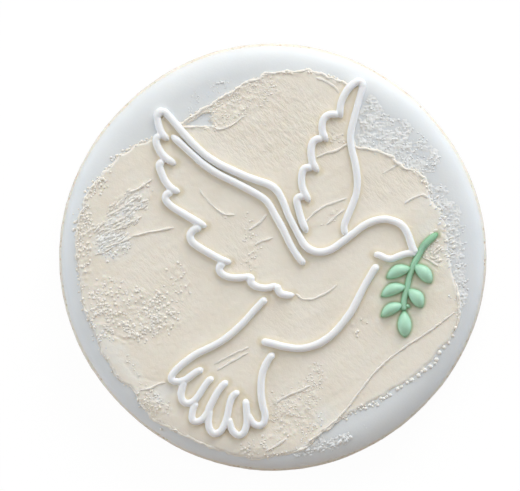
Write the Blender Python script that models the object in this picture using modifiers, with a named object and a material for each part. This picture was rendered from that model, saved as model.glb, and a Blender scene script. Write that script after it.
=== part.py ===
"""Round iced sugar cookie with a piped dove and olive sprig.

A baked disc carries a domed coat of white icing, a thin scraped coat of cream icing on top of that,
and piped lines of stiff white and green icing. Metres, +Z up, origin at the middle of the underside,
+Y towards the top of the picture that the lines draw. Routes and outlines are listed in millimetres.
"""

import math

import bmesh
import bpy
import numpy as np
from mathutils import Vector

MM = 0.001

# Driving sizes.
BISCUIT_RADIUS = 40.0 * MM
BISCUIT_THICKNESS = 6.5 * MM
BISCUIT_BOTTOM_ROUND = 0.9 * MM
BISCUIT_TOP_ROUND = 1.6 * MM
FLOOD_RADIUS = 39.45 * MM
FLOOD_THICKNESS = 2.5 * MM
FLOOD_DOME_WIDTH = 4.9 * MM
FLOOD_FOOT = 0.35 * MM
SPREAD_THICKNESS = 0.4 * MM
LINE_WIDTH = 1.4 * MM
LINE_HEIGHT = 1.15 * MM
STEM_WIDTH = 0.75 * MM
STEM_HEIGHT = 0.6 * MM
LEAF_HEIGHT = 1.0 * MM

# Clearance that pieces keep where they rest on or touch each other.
GAP = 0.3 * MM
# Each line of a fused group starts this much higher than the last, as it laps over it.
LAP_LIFT = 0.03 * MM

# How finely curved shapes are faceted.
ROUND_STEPS = 72
DOME_STEPS = 7
LINE_STEP = 1.25 * MM
LINE_SIDES = 7
LEAF_SEGMENTS = 10
LEAF_RINGS = 8

FLOOD_BASE = BISCUIT_THICKNESS + GAP
FLAT_RADIUS = FLOOD_RADIUS - FLOOD_DOME_WIDTH

# Colours: red, green, blue in linear light, then roughness.
FINISHES = {
    "biscuit": ((0.63, 0.41, 0.20), 0.85),
    "white_icing": ((0.82, 0.82, 0.80), 0.45),
    "cream_icing": ((0.76, 0.70, 0.57), 0.60),
    "piped_icing": ((0.88, 0.88, 0.87), 0.40),
    "green_icing": ((0.31, 0.60, 0.42), 0.40),
}

# Edge of the cream coat, anticlockwise from the top.
SPREAD_OUTLINE = [
    (0, 34.2), (-3, 33.3), (-6, 31.8), (-9, 29.9), (-12, 27.8), (-15, 25.9), (-17.6, 25.3),
    (-19.6, 26.2), (-21.2, 26.4), (-21.9, 24.6), (-22.9, 22.1), (-25.5, 21.1), (-28.0, 19.6),
    (-30.4, 17.1), (-32.6, 14.3), (-34.5, 11.8), (-35.7, 8.6), (-36.4, 5.4), (-36.8, 2.5),
    (-36.6, -1.5), (-36.3, -5.0), (-35.6, -8.6), (-34.4, -12.0), (-33.4, -15.0), (-32.3, -18.0),
    (-30.4, -21.0), (-27.8, -23.4), (-25.6, -25.4), (-24.6, -27.8), (-22.4, -29.9), (-19.4, -31.8),
    (-16.0, -33.7), (-12.5, -35.1), (-9.0, -36.3), (-5.2, -37.2), (-1.5, -37.6), (2.2, -37.0),
    (5.2, -36.0), (7.6, -34.4), (10.2, -32.1), (13.2, -29.8), (17.0, -27.4), (21.0, -25.5),
    (24.8, -23.2), (28.2, -20.5), (31.0, -18.0), (33.4, -15.3), (34.8, -12.0), (34.3, -9.0),
    (34.6, -5.6), (33.8, -2.0), (33.6, 2.0), (33.0, 5.6), (31.6, 8.8), (29.7, 11.4),
    (28.4, 14.6), (25.4, 15.8), (23.0, 18.0), (19.4, 20.0), (16.2, 20.6), (15.5, 22.8),
    (15.8, 26.0), (16.4, 29.6), (14.6, 32.3), (11.4, 33.3), (7.4, 34.8), (3.4, 35.0),
]

# Back line: from the tip of the far wing down its leading edge, over back, neck and head to the beak.
BACK_ROUTE = [
    (-21.2, 26.9), (-20.2, 26.8), (-19.0, 25.7), (-17.4, 24.0), (-15.6, 21.9), (-13.6, 19.9),
    (-11.2, 18.0), (-8.4, 16.5), (-5.4, 15.2), (-2.4, 14.2), (-0.2, 13.2), (1.2, 11.8),
    (2.2, 9.8), (3.2, 7.4), (4.3, 5.1), (5.6, 3.1), (7.2, 1.5), (9.2, 0.95),
    (11.2, 1.6), (13.4, 3.1), (15.6, 4.9), (17.8, 6.35), (20.0, 7.05), (22.2, 6.95),
    (24.0, 6.1), (25.2, 4.4), (25.9, 2.4), (26.6, 0.9),
]
BEAK_ROUTE = [
    (26.8, 0.75), (25.6, 0.75), (24.2, 0.4), (22.8, -0.2), (21.6, -0.35), (20.5, 0.1), (19.3, 0.45),
]
# Trailing edge of the far wing: one comma stroke for each feather, tip to body.
FAR_WING_FEATHERS = [
    [(-21.0, 27.0), (-21.6, 26.2), (-21.5, 24.9), (-21.1, 23.6), (-20.5, 22.7), (-19.7, 22.1)],
    [(-21.0, 22.8), (-21.7, 22.3), (-21.7, 21.3), (-21.2, 20.1), (-20.4, 19.0), (-19.4, 18.1),
     (-18.4, 17.6)],
    [(-20.3, 18.2), (-21.1, 17.5), (-21.1, 16.5), (-20.6, 15.1), (-19.8, 13.8), (-18.8, 12.8),
     (-17.7, 12.3)],
    [(-18.9, 12.5), (-19.8, 11.9), (-20.0, 11.0), (-19.3, 9.8), (-17.6, 8.6), (-15.6, 7.4),
     (-13.8, 6.4), (-12.6, 5.9)],
    [(-13.9, 5.9), (-15.1, 5.0), (-15.5, 3.9), (-14.9, 2.7), (-13.3, 1.6), (-11.4, 0.6),
     (-9.6, -0.3), (-8.1, -0.8)],
    [(-9.1, -0.7), (-10.0, -1.6), (-9.9, -2.7), (-8.9, -3.5), (-7.4, -3.85), (-5.7, -3.8), (-4.2, -3.5)],
    [(-4.5, -3.5), (-4.2, -4.6), (-3.4, -5.4), (-2.0, -5.8), (-0.6, -5.7), (0.7, -5.3)],
    [(0.4, -5.3), (0.9, -6.3), (1.8, -7.0), (2.8, -7.1), (3.8, -7.0)],
]
# Scalloped edge of the near wing, base to tip, then its plain edge.
NEAR_WING_FEATHERS = [
    [(6.2, 5.3), (5.6, 6.5), (5.1, 8.2), (4.6, 9.9), (4.6, 10.9), (5.6, 11.4)],
    [(7.0, 10.5), (6.2, 11.5), (5.7, 13.0), (5.4, 14.7), (5.5, 16.0), (6.3, 16.7), (7.3, 16.8)],
    [(8.5, 16.1), (7.8, 17.1), (7.4, 18.4), (7.2, 20.0), (7.4, 21.3), (8.2, 22.0), (9.3, 22.1)],
    [(10.2, 21.8), (9.6, 22.7), (9.3, 24.0), (9.4, 25.4), (10.2, 26.4), (11.4, 26.7), (12.5, 26.6)],
    [(12.8, 26.4), (12.6, 28.0), (13.0, 29.8), (13.9, 31.3), (15.1, 32.4), (16.4, 32.6), (16.9, 31.6)],
]
NEAR_WING_EDGE = [
    (16.9, 32.0), (16.4, 30.2), (15.7, 28.0), (15.0, 25.9), (14.6, 23.8), (14.5, 21.8), (14.8, 19.8),
    (15.3, 17.8), (15.7, 15.7), (15.75, 13.6), (15.4, 11.5), (14.7, 9.6), (13.9, 7.8), (13.5, 6.4),
    (13.45, 5.3),
]
WING_FOLD_ROUTE = [
    (-18.5, 22.3), (-17.2, 21.2), (-15.0, 19.2), (-12.6, 17.2), (-10.0, 15.5), (-7.4, 14.1),
    (-5.0, 12.9), (-3.0, 11.7), (-1.4, 10.4), (-0.2, 8.9), (0.9, 7.1), (1.9, 5.1),
    (2.9, 3.1), (3.9, 1.2), (4.9, -0.2), (5.8, -1.2),
]
BREAST_ROUTE = [
    (19.4, -1.8), (18.4, -3.7), (17.3, -5.7), (16.2, -7.8), (14.9, -9.9), (13.4, -12.0),
    (11.6, -13.9), (9.6, -15.4), (7.4, -16.5), (5.0, -17.0), (2.6, -16.8), (0.4, -16.3), (-1.5, -15.8),
]
# Tail: each stroke runs down one feather's edge, round its end and back up as a short spine.
TAIL_ROUTES = [
    [(-1.2, -7.7), (-2.6, -9.1), (-4.2, -10.8), (-5.9, -12.6), (-7.8, -14.3), (-10.0, -15.8),
     (-12.4, -17.0), (-14.8, -18.4), (-16.9, -19.9), (-18.4, -21.3), (-18.9, -22.5), (-18.1, -23.2),
     (-16.8, -23.1), (-15.6, -22.4), (-14.5, -21.5), (-13.3, -21.0)],
    [(-16.4, -23.3), (-17.0, -24.7), (-17.2, -26.1), (-16.6, -27.1), (-15.5, -27.2), (-14.5, -26.6),
     (-13.7, -25.5), (-12.9, -24.2), (-12.1, -23.1), (-11.4, -22.6)],
    [(-14.4, -26.9), (-14.9, -28.3), (-15.2, -29.6), (-14.8, -30.6), (-13.8, -30.6), (-12.7, -29.6),
     (-11.9, -28.2), (-11.3, -26.9), (-10.6, -25.5), (-9.8, -24.2), (-8.7, -23.4)],
    [(-11.9, -28.7), (-12.1, -30.2), (-12.0, -31.6), (-11.4, -32.7), (-10.4, -32.8), (-9.5, -31.9),
     (-8.9, -30.5), (-8.5, -29.0), (-8.2, -27.6), (-7.6, -26.2), (-6.6, -25.3)],
    [(-8.5, -29.8), (-8.1, -31.4), (-7.4, -32.7), (-6.3, -33.2), (-5.4, -32.5), (-5.0, -31.2),
     (-4.9, -29.7), (-5.0, -28.2), (-5.1, -26.8)],
    [(-4.9, -29.2), (-4.3, -30.4), (-3.4, -31.3), (-2.3, -31.4), (-1.6, -30.5), (-1.6, -29.2),
     (-2.0, -27.4), (-2.2, -25.5), (-2.2, -23.6), (-2.0, -21.8), (-1.4, -20.0), (-0.7, -18.8), (0.0, -18.1)],
]
STEM_ROUTE = [
    (30.6, 4.3), (29.6, 3.5), (28.6, 2.5), (27.9, 1.4), (27.3, 0.2), (26.6, -1.1), (26.0, -2.5),
    (25.4, -4.1), (25.1, -5.6), (24.8, -7.0), (24.5, -8.4), (24.45, -9.3),
]
# Leaves: the end at the stem, the free end, the widest width, and how far the middle bows to the left.
LEAVES = {
    "sprig_leaf_1": ((25.1, -2.1), (21.2, -3.9), 1.9, -0.6),
    "sprig_leaf_2": ((26.9, -1.8), (29.6, -4.6), 2.1, 0.4),
    "sprig_leaf_3": ((24.3, -5.7), (20.4, -7.3), 1.9, -0.6),
    "sprig_leaf_4": ((25.6, -6.2), (28.0, -9.4), 2.1, 0.4),
    "sprig_leaf_5": ((23.8, -8.9), (20.4, -11.0), 1.9, -0.4),
    "sprig_leaf_6": ((24.5, -10.1), (24.7, -15.1), 2.3, 0.0),
    "sprig_bud": ((25.25, -8.8), (26.0, -9.3), 0.5, 0.0),
}


def clear_scene():
    for existing in list(bpy.data.objects):
        bpy.data.objects.remove(existing)


def new_collection(name):
    collection = bpy.data.collections.new(name)
    bpy.context.scene.collection.children.link(collection)
    return collection


def new_finish(name):
    colour, roughness = FINISHES[name]
    material = bpy.data.materials.new(name)
    material.use_nodes = True
    shader = material.node_tree.nodes["Principled BSDF"]
    shader.inputs["Base Color"].default_value = (*colour, 1.0)
    shader.inputs["Roughness"].default_value = roughness
    return material


def place(name, data, collection, material):
    """A new object for this mesh or curve, in its collection, with its finish."""
    obj = bpy.data.objects.new(name, data)
    collection.objects.link(obj)
    obj.data.materials.append(material)
    return obj


def as_guide(obj):
    """Marks a helper that cuts or joins another piece and isn't a piece itself."""
    obj.hide_render = True
    obj.display_type = "WIRE"
    return obj


def join_with(obj, other, operation):
    modifier = obj.modifiers.new(f"{operation.lower()}_{other.name}", "BOOLEAN")
    modifier.operation = operation
    modifier.solver = "EXACT"
    modifier.object = other


def icing_top(radius):
    """Height of the white icing: flat, then falling as a quarter ellipse to its edge."""
    along = np.clip((np.asarray(radius) - FLAT_RADIUS) / FLOOD_DOME_WIDTH, 0, 1)
    return FLOOD_BASE + FLOOD_FOOT + (FLOOD_THICKNESS - FLOOD_FOOT) * np.sqrt(1 - along**2)


def rest_height(points, clearance):
    """Height at which something lies over the icing at each (x, y)."""
    return icing_top(np.hypot(points[:, 0], points[:, 1])) + clearance


def turned(name, profile, collection, material):
    """A solid turned about Z from (radius, height) points that run from the axis out over the top,
    down the outer side and back to the axis."""
    mesh = bpy.data.meshes.new(name)
    points = [(radius, 0, height) for radius, height in profile]
    mesh.from_pydata(points, [(i, i + 1) for i in range(len(points) - 1)], [])
    obj = place(name, mesh, collection, material)
    screw = obj.modifiers.new("turn", "SCREW")
    screw.axis = "Z"
    screw.steps = screw.render_steps = ROUND_STEPS
    screw.use_merge_vertices = True
    screw.merge_threshold = 0.00005
    screw.use_smooth_shade = True
    return obj


def corner(centre, radius, start, end, steps):
    """Points of a rounded profile corner between two angles in degrees."""
    angles = np.radians(np.linspace(start, end, steps + 1))
    return [(centre[0] + radius * math.cos(a), centre[1] + radius * math.sin(a)) for a in angles]


def make_biscuit(collection, material):
    top, bottom = BISCUIT_TOP_ROUND, BISCUIT_BOTTOM_ROUND
    profile = [(0, BISCUIT_THICKNESS)]
    profile += corner((BISCUIT_RADIUS - top, BISCUIT_THICKNESS - top), top, 90, 0, 4)
    profile += corner((BISCUIT_RADIUS - bottom, bottom), bottom, 0, -90, 3)
    profile += [(0, 0)]
    return turned("biscuit", profile, collection, material)


def dome_profile(clearance, last_radius):
    """(radius, height) of the icing's top, lifted by a clearance, from the flat out to a radius."""
    reach = (last_radius - FLAT_RADIUS) / FLOOD_DOME_WIDTH
    turns = np.linspace(0, math.asin(min(reach, 1)), DOME_STEPS + 1)
    radii = FLAT_RADIUS + FLOOD_DOME_WIDTH * np.sin(turns)
    return [(float(r), float(icing_top(r)) + clearance) for r in radii]


def make_flood(collection, material):
    profile = [(0, FLOOD_BASE + FLOOD_THICKNESS)]
    profile += dome_profile(0, FLOOD_RADIUS)
    profile += [(FLOOD_RADIUS - FLOOD_FOOT, FLOOD_BASE), (0, FLOOD_BASE)]
    return turned("white_icing", profile, collection, material)


def smooth_path(route, closed=False, step=LINE_STEP):
    """Evenly spaced points, in metres, on a Catmull-Rom curve through a route in millimetres."""
    knots = np.array(route, float) * MM
    if closed:
        knots = np.vstack([knots[-1], knots, knots[0], knots[1]])
    else:
        knots = np.vstack([2 * knots[0] - knots[1], knots, 2 * knots[-1] - knots[-2]])
    t = np.linspace(0, 1, 12, endpoint=False)[:, None]
    before, start, end, after = (knots[i : len(knots) - 3 + i, None] for i in range(4))
    fine = 0.5 * (
        2 * start
        + (end - before) * t
        + (2 * before - 5 * start + 4 * end - after) * t**2
        + (3 * start - before - 3 * end + after) * t**3
    )
    fine = np.vstack([fine.reshape(-1, 2), knots[-2]])
    along = np.concatenate([[0], np.cumsum(np.hypot(*np.diff(fine, axis=0).T))])
    count = max(4, round(along[-1] / step) + 1)
    at = np.linspace(0, along[-1], count)
    points = np.stack([np.interp(at, along, fine[:, i]) for i in range(2)], axis=1)
    return points[:-1] if closed else points


def curve_to_mesh(obj, collection, material):
    """Replaces a curve object by its mesh, with its end caps welded on."""
    graph = bpy.context.evaluated_depsgraph_get()
    mesh = bpy.data.meshes.new_from_object(obj.evaluated_get(graph))
    shape = bmesh.new()
    shape.from_mesh(mesh)
    bmesh.ops.remove_doubles(shape, verts=shape.verts, dist=0.01 * MM)
    bmesh.ops.recalc_face_normals(shape, faces=shape.faces)
    shape.to_mesh(mesh)
    shape.free()
    mesh.materials.clear()
    name, matrix = obj.name, obj.matrix_world.copy()
    curve = obj.data
    bpy.data.objects.remove(obj)
    bpy.data.curves.remove(curve)
    made = place(name, mesh, collection, material)
    made.matrix_world = matrix
    return made


def outline_prism(name, outline, low, high, collection, material):
    """A flat outline made as thick as from low to high."""
    curve = bpy.data.curves.new(name, "CURVE")
    curve.dimensions = "2D"
    curve.fill_mode = "BOTH"
    curve.extrude = (high - low) / 2
    points = smooth_path(outline, closed=True, step=2 * LINE_STEP)
    spline = curve.splines.new("POLY")
    spline.points.add(len(points) - 1)
    for point, (x, y) in zip(spline.points, points):
        point.co = (x, y, 0, 1)
    spline.use_cyclic_u = True
    obj = place(name, curve, collection, material)
    obj.location.z = (low + high) / 2
    bpy.context.view_layer.update()
    return curve_to_mesh(obj, collection, material)


def make_spread(collection, guides, material):
    """The cream coat: a shell that follows the white icing, trimmed to its uneven outline."""
    under, over = GAP, GAP + SPREAD_THICKNESS
    rim = FLOOD_RADIUS - 0.8 * MM
    top = FLOOD_BASE + FLOOD_THICKNESS
    profile = [(0, top + over)] + dome_profile(over, rim)
    profile += dome_profile(under, rim)[::-1] + [(0, top + under)]
    shell = as_guide(turned("spread_shell", profile, guides, material))
    low, high = FLOOD_BASE, top + 2 * over
    spread = outline_prism("cream_icing", SPREAD_OUTLINE, low, high, collection, material)
    join_with(spread, shell, "INTERSECT")
    return spread


def section_curve(name, width, height, guides):
    """Cross-section of a piped line: an ellipse cut off flat where it lies on the icing."""
    middle = 0.42 * height
    foot = math.asin(middle / (height - middle))
    curve = bpy.data.curves.new(name, "CURVE")
    curve.dimensions = "2D"
    spline = curve.splines.new("POLY")
    spline.points.add(LINE_SIDES - 1)
    for point, angle in zip(spline.points, np.linspace(-foot, math.pi + foot, LINE_SIDES)):
        point.co = (width / 2 * math.cos(angle), middle + (height - middle) * math.sin(angle), 0, 1)
    spline.use_cyclic_u = True
    obj = bpy.data.objects.new(name, curve)
    guides.objects.link(obj)
    return as_guide(obj)


def end_rounding(points, blunt, pointed_start):
    """Scale of the section along a line: a blunt round end, and where asked a long thin start."""
    along = np.concatenate([[0], np.cumsum(np.linalg.norm(np.diff(points, axis=0), axis=1))])
    from_start, from_end = along, along[-1] - along
    reach = 5 * blunt if pointed_start else blunt
    start = np.sqrt(1 - (1 - np.clip(from_start / reach, 0, 1)) ** 2)
    end = np.sqrt(1 - (1 - np.clip(from_end / blunt, 0, 1)) ** 2)
    return np.clip(start * end, 0.3, 1)


def piped_line(name, route, section, lift, collection, material, pointed_start=False):
    """A line of stiff icing squeezed out along a route over the icing below."""
    flat = smooth_path(route)
    width = section.dimensions.x
    first, last = flat[1] - flat[0], flat[-1] - flat[-2]
    near = flat[0] + 0.25 * width * first / np.linalg.norm(first)
    far = flat[-1] - 0.25 * width * last / np.linalg.norm(last)
    flat = np.vstack([flat[0], near, flat[1:-1], far, flat[-1]])
    points = np.column_stack([flat, rest_height(flat, lift)])
    curve = bpy.data.curves.new(name, "CURVE")
    curve.dimensions = "3D"
    curve.twist_mode = "Z_UP"
    curve.bevel_mode = "OBJECT"
    curve.bevel_object = section
    curve.use_fill_caps = True
    spline = curve.splines.new("POLY")
    spline.points.add(len(points) - 1)
    scale = end_rounding(points, 0.5 * width, pointed_start)
    for point, place_at, size in zip(spline.points, points, scale):
        point.co = (*place_at, 1)
        point.radius = size
    obj = place(name, curve, collection, material)
    bpy.context.view_layer.update()
    return curve_to_mesh(obj, collection, material)


def fused_lines(name, routes, section, lift, collection, guides, material):
    """Lines that touch while wet and set as one piece. The first carries the rest."""
    made = piped_line(name, routes[0], section, lift, collection, material)
    for number, route in enumerate(routes[1:], start=1):
        height = lift + LAP_LIFT * (1 + number % 3)
        added = piped_line(f"{name}_part_{number}", route, section, height, guides, material)
        join_with(made, as_guide(added), "UNION")
    return made


def make_leaf(name, collection, material):
    """A pressed teardrop of icing: flat below, crowned above, pointed at the stem."""
    start, end, width, bow = LEAVES[name]
    start, end = Vector(start) * MM, Vector(end) * MM
    along = end - start
    across = Vector((-along.y, along.x)).normalized()
    high = LEAF_HEIGHT * min(1, width / 1.4)
    lift = GAP + SPREAD_THICKNESS + GAP
    shape = bmesh.new()
    bmesh.ops.create_uvsphere(shape, u_segments=LEAF_SEGMENTS, v_segments=LEAF_RINGS, radius=1)
    for vert in shape.verts:
        # The sphere's own axis becomes the leaf's length, and its lower half is pressed flat.
        t = (vert.co.z + 1) / 2
        fullness = math.sin(math.pi * t) ** 0.15 * (0.75 + 0.35 * t) if 0 < t < 1 else 0
        spine = start + along * t + across * bow * MM * math.sin(math.pi * t)
        spot = spine + across * vert.co.x * fullness * width * MM / 2
        rise = max(vert.co.y, 0) * fullness * high
        base = float(icing_top(spot.length)) + lift
        vert.co = (spot.x, spot.y, base + rise)
    shape.normal_update()
    bmesh.ops.recalc_face_normals(shape, faces=shape.faces)
    mesh = bpy.data.meshes.new(name)
    shape.to_mesh(mesh)
    shape.free()
    mesh.shade_smooth()
    return place(name, mesh, collection, material)


def main():
    clear_scene()
    cookie = new_collection("iced_sugar_cookie")
    guides = new_collection("guides")
    finish = {name: new_finish(name) for name in FINISHES}

    make_biscuit(cookie, finish["biscuit"])
    make_flood(cookie, finish["white_icing"])
    make_spread(cookie, guides, finish["cream_icing"])

    on_spread = GAP + SPREAD_THICKNESS + GAP
    line = section_curve("line_section", LINE_WIDTH, LINE_HEIGHT, guides)
    room = section_curve("line_room", LINE_WIDTH + 2 * GAP, LINE_HEIGHT + GAP, guides)
    stem = section_curve("stem_section", STEM_WIDTH, STEM_HEIGHT, guides)
    bpy.context.view_layer.update()
    white = finish["piped_icing"]

    outline = [BACK_ROUTE, BEAK_ROUTE, *FAR_WING_FEATHERS]
    fused_lines("dove_outline", outline, line, on_spread, cookie, guides, white)
    near_wing = [NEAR_WING_EDGE, *NEAR_WING_FEATHERS]
    fused_lines("dove_near_wing", near_wing, line, on_spread, cookie, guides, white)
    fused_lines("dove_tail", TAIL_ROUTES, line, on_spread, cookie, guides, white)
    piped_line("dove_wing_fold", WING_FOLD_ROUTE, line, on_spread, cookie, white)
    piped_line("dove_breast", BREAST_ROUTE, line, on_spread, cookie, white)

    sprig = piped_line("sprig_stem", STEM_ROUTE, stem, on_spread, cookie, finish["green_icing"], True)
    beak_room = piped_line("beak_room", BACK_ROUTE[-3:], room, on_spread - GAP, guides, white)
    join_with(sprig, as_guide(beak_room), "DIFFERENCE")
    for name in LEAVES:
        make_leaf(name, cookie, finish["green_icing"])


main()
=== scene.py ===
"""Round iced sugar cookie: baked disc, domed white icing, a scraped cream coat, a piped dove and sprig.

Everything is in metres with +Z up. The origin is the middle of the biscuit's underside, and +Y points
to the top of the piped picture. Routes and outlines are written in millimetres.
"""

import itertools
import math

import bmesh
import bpy
import numpy as np
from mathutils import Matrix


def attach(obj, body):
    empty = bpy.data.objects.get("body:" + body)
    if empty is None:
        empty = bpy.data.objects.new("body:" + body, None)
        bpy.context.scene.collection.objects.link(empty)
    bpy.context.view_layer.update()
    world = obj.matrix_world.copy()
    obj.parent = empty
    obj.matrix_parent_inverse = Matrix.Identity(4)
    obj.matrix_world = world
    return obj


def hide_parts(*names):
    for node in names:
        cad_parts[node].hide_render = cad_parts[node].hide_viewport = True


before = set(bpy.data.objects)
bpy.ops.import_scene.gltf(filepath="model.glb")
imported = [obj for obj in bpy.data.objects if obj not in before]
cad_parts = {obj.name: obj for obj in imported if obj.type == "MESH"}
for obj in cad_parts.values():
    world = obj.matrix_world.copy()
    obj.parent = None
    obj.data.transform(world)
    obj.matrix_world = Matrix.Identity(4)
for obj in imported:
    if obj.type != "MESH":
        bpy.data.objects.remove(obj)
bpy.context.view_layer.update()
MM = 0.001

# Biscuit ---------------------------------------------------------------------------------------
# A disc of rolled sugar dough, cut with a round cutter and baked until the edge is just golden.
# Its side has a fine open crumb, and the underside is browner where it lay on the tray.

BISCUIT_RADIUS = 39.80 * MM
HAND_CUT = 0.14 * MM
BISCUIT_THICKNESS = 6.6 * MM
BISCUIT_TOP_ROUND = 1.5 * MM
BISCUIT_FOOT_ROUND = 0.9 * MM
# How much wider the foot is than the top, the unevenness of the cut and the crumb, and the tray's marks.
BISCUIT_SPREAD = 0.1 * MM
CUT_WAVE = 0.05 * MM
CRUMB_WAVE = 0.04 * MM
TRAY_MARKS = 0.04 * MM
BISCUIT_STEPS = 400


def soft_noise(place, size, seed):
    """Smooth field from -1 to 1: seeded values at the corners of cells `size` wide, eased in between."""
    table = np.random.default_rng(seed).uniform(-1, 1, 65536)
    cell = place / np.asarray(size)
    low = np.floor(cell).astype(np.int64)
    ease = cell - low
    ease = ease * ease * (3 - 2 * ease)
    mixers = np.array([73856093, 19349663, 83492791])[: place.shape[-1]]
    total = 0.0
    for corner in itertools.product((0, 1), repeat=place.shape[-1]):
        mixed = np.bitwise_xor.reduce((low + corner) * mixers, axis=-1) & 65535
        total = total + table[mixed] * np.prod(np.where(corner, ease, 1 - ease), axis=-1)
    return total


def layered_noise(place, size, seed, layers=3):
    """Soft noise added to itself at half the size and half the strength, again and again."""
    return sum(soft_noise(place, np.asarray(size) / 2**i, seed + i) / 2**i for i in range(layers))


def quarter(centre_r, centre_z, round_r, start, end, count):
    """(radius, height) points on a circle's arc between two angles in degrees."""
    turn = np.radians(np.linspace(start, end, count))
    return np.stack([centre_r + round_r * np.cos(turn), centre_z + round_r * np.sin(turn)], axis=1)


def turned_points(profile, steps):
    """Every (radius, height) of a profile carried round the Z axis: x = r cos a, y = r sin a."""
    angle = np.linspace(0, 2 * np.pi, steps, endpoint=False)
    radius, height = profile[:, :1], profile[:, 1:]
    return np.stack([radius * np.cos(angle), radius * np.sin(angle), height + 0 * angle], axis=2)


def turned_faces(rings, steps):
    """Quads between rings that run from the top outwards and down, with a fan to a point at each end."""
    ring, step = np.meshgrid(np.arange(rings - 1), np.arange(steps), indexing="ij")
    here, after = ring * steps + step, ring * steps + (step + 1) % steps
    quads = np.stack([here, here + steps, after + steps, after], axis=2).reshape(-1, 4)
    around = np.arange(steps)
    beyond = (around + 1) % steps
    top, bottom, last = rings * steps, rings * steps + 1, (rings - 1) * steps
    top_fan = np.stack([around * 0 + top, around, beyond], axis=1)
    bottom_fan = np.stack([around * 0 + bottom, last + beyond, last + around], axis=1)
    return quads.tolist() + top_fan.tolist() + bottom_fan.tolist()


def make_mesh(name, points, faces):
    """A smooth-shaded mesh from an array of points and a list of faces."""
    mesh = bpy.data.meshes.new(name)
    mesh.from_pydata(points.reshape(-1, 3), [], faces)
    mesh.shade_smooth()
    mesh.validate()
    return mesh


def set_piece(name, mesh, material, nodes):
    """Puts a finished mesh in the scene in place of its CAD nodes."""
    piece = bpy.data.objects.new(name, mesh)
    bpy.context.scene.collection.objects.link(piece)
    mesh.materials.append(material)
    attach(piece, "root")
    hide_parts(*nodes)
    return piece


def new_finish(name):
    """A new material, its node tree and its Principled shader."""
    material = bpy.data.materials.new(name)
    material.use_nodes = True
    return material, material.node_tree, material.node_tree.nodes["Principled BSDF"]


def put(tree, kind, inputs=None, **settings):
    """Adds a node. Each input is a plain value, or another node's output to link in."""
    node = tree.nodes.new(kind)
    for name, value in settings.items():
        setattr(node, name, value)
    fill(tree, node, inputs or {})
    return node


def fill(tree, node, inputs):
    """Sets or links a node's inputs by name or number."""
    for name, value in inputs.items():
        if isinstance(value, bpy.types.NodeSocket):
            tree.links.new(value, node.inputs[name])
        else:
            node.inputs[name].default_value = value


def blended(tree, share, first, second):
    """Colour output that goes from the first colour to the second with a share from 0 to 1."""
    mix = put(tree, "ShaderNodeMix", {0: share, 6: first, 7: second}, data_type="RGBA")
    return mix.outputs[2]


def remapped(tree, value, low, high, to_low=0.0, to_high=1.0):
    """Value output stretched from one range to another and kept inside it."""
    inputs = {"Value": value, "From Min": low, "From Max": high, "To Min": to_low, "To Max": to_high}
    return put(tree, "ShaderNodeMapRange", inputs).outputs["Result"]


def push_out(points, profile, start, reach, push):
    """Moves points out from the axis by push + HAND_CUT * cos(4 * angle).

    It grows from nothing at the start radius to all of it a reach further out.
    """
    angle = np.arctan2(points[:, :, 1], points[:, :, 0])
    share = np.clip((profile[:, 0] - start) / reach, 0, 1)[:, None]
    push = share * (push + HAND_CUT * np.cos(4 * angle))
    points[:, :, :2] *= (1 + push / np.maximum(profile[:, 0], MM)[:, None])[:, :, None]


def biscuit_points():
    """Rounded disc with a slightly wider foot, uneven by slow noise for the cut and quick noise for crumb."""
    top, foot = BISCUIT_TOP_ROUND, BISCUIT_FOOT_ROUND
    across_top = np.stack([np.linspace(2, 38, 19) * MM, np.full(19, BISCUIT_THICKNESS)], axis=1)
    shoulder = quarter(BISCUIT_RADIUS - top, BISCUIT_THICKNESS - top, top, 84, 0, 12)
    side = np.linspace(shoulder[-1], (BISCUIT_RADIUS + BISCUIT_SPREAD, foot), 14)[1:-1]
    heel = quarter(BISCUIT_RADIUS + BISCUIT_SPREAD - foot, foot, foot, 0, -90, 9)
    across_foot = np.stack([np.linspace(38, 2, 19) * MM, np.zeros(19)], axis=1)
    profile = np.concatenate([across_top, shoulder, side, heel, across_foot])
    points = turned_points(profile, BISCUIT_STEPS)
    push = CUT_WAVE * soft_noise(points, 9 * MM, 3) + CRUMB_WAVE * layered_noise(points, 1.1 * MM, 5)
    push_out(points, profile, 37 * MM, 2 * MM, push)
    under = (profile[:, 1] < 0.01 * MM)[:, None]
    points[:, :, 2] += under * TRAY_MARKS * (1 + soft_noise(points, 1.6 * MM, 8))
    poles = [[0, 0, BISCUIT_THICKNESS], [0, 0, TRAY_MARKS]]
    return np.concatenate([points.reshape(-1, 3), poles]), len(profile)


def object_place(tree):
    """Vector output of the piece's own coordinates in metres."""
    return put(tree, "ShaderNodeTexCoord").outputs["Object"]


def noise(tree, place, scale, detail):
    """Value output of a noise with features about 1 / scale metres wide."""
    return put(tree, "ShaderNodeTexNoise", {"Vector": place, "Scale": scale, "Detail": detail}).outputs["Fac"]


def worked_out(tree, operation, *values):
    """Value output of one calculation on plain values or other nodes' outputs."""
    return put(tree, "ShaderNodeMath", dict(enumerate(values)), operation=operation).outputs[0]


def bumped(tree, height, distance, strength=1.0):
    """Normal output of a height, whose full range stands a distance in metres."""
    inputs = {"Height": height, "Strength": strength, "Distance": distance}
    return put(tree, "ShaderNodeBump", inputs).outputs["Normal"]


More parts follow.
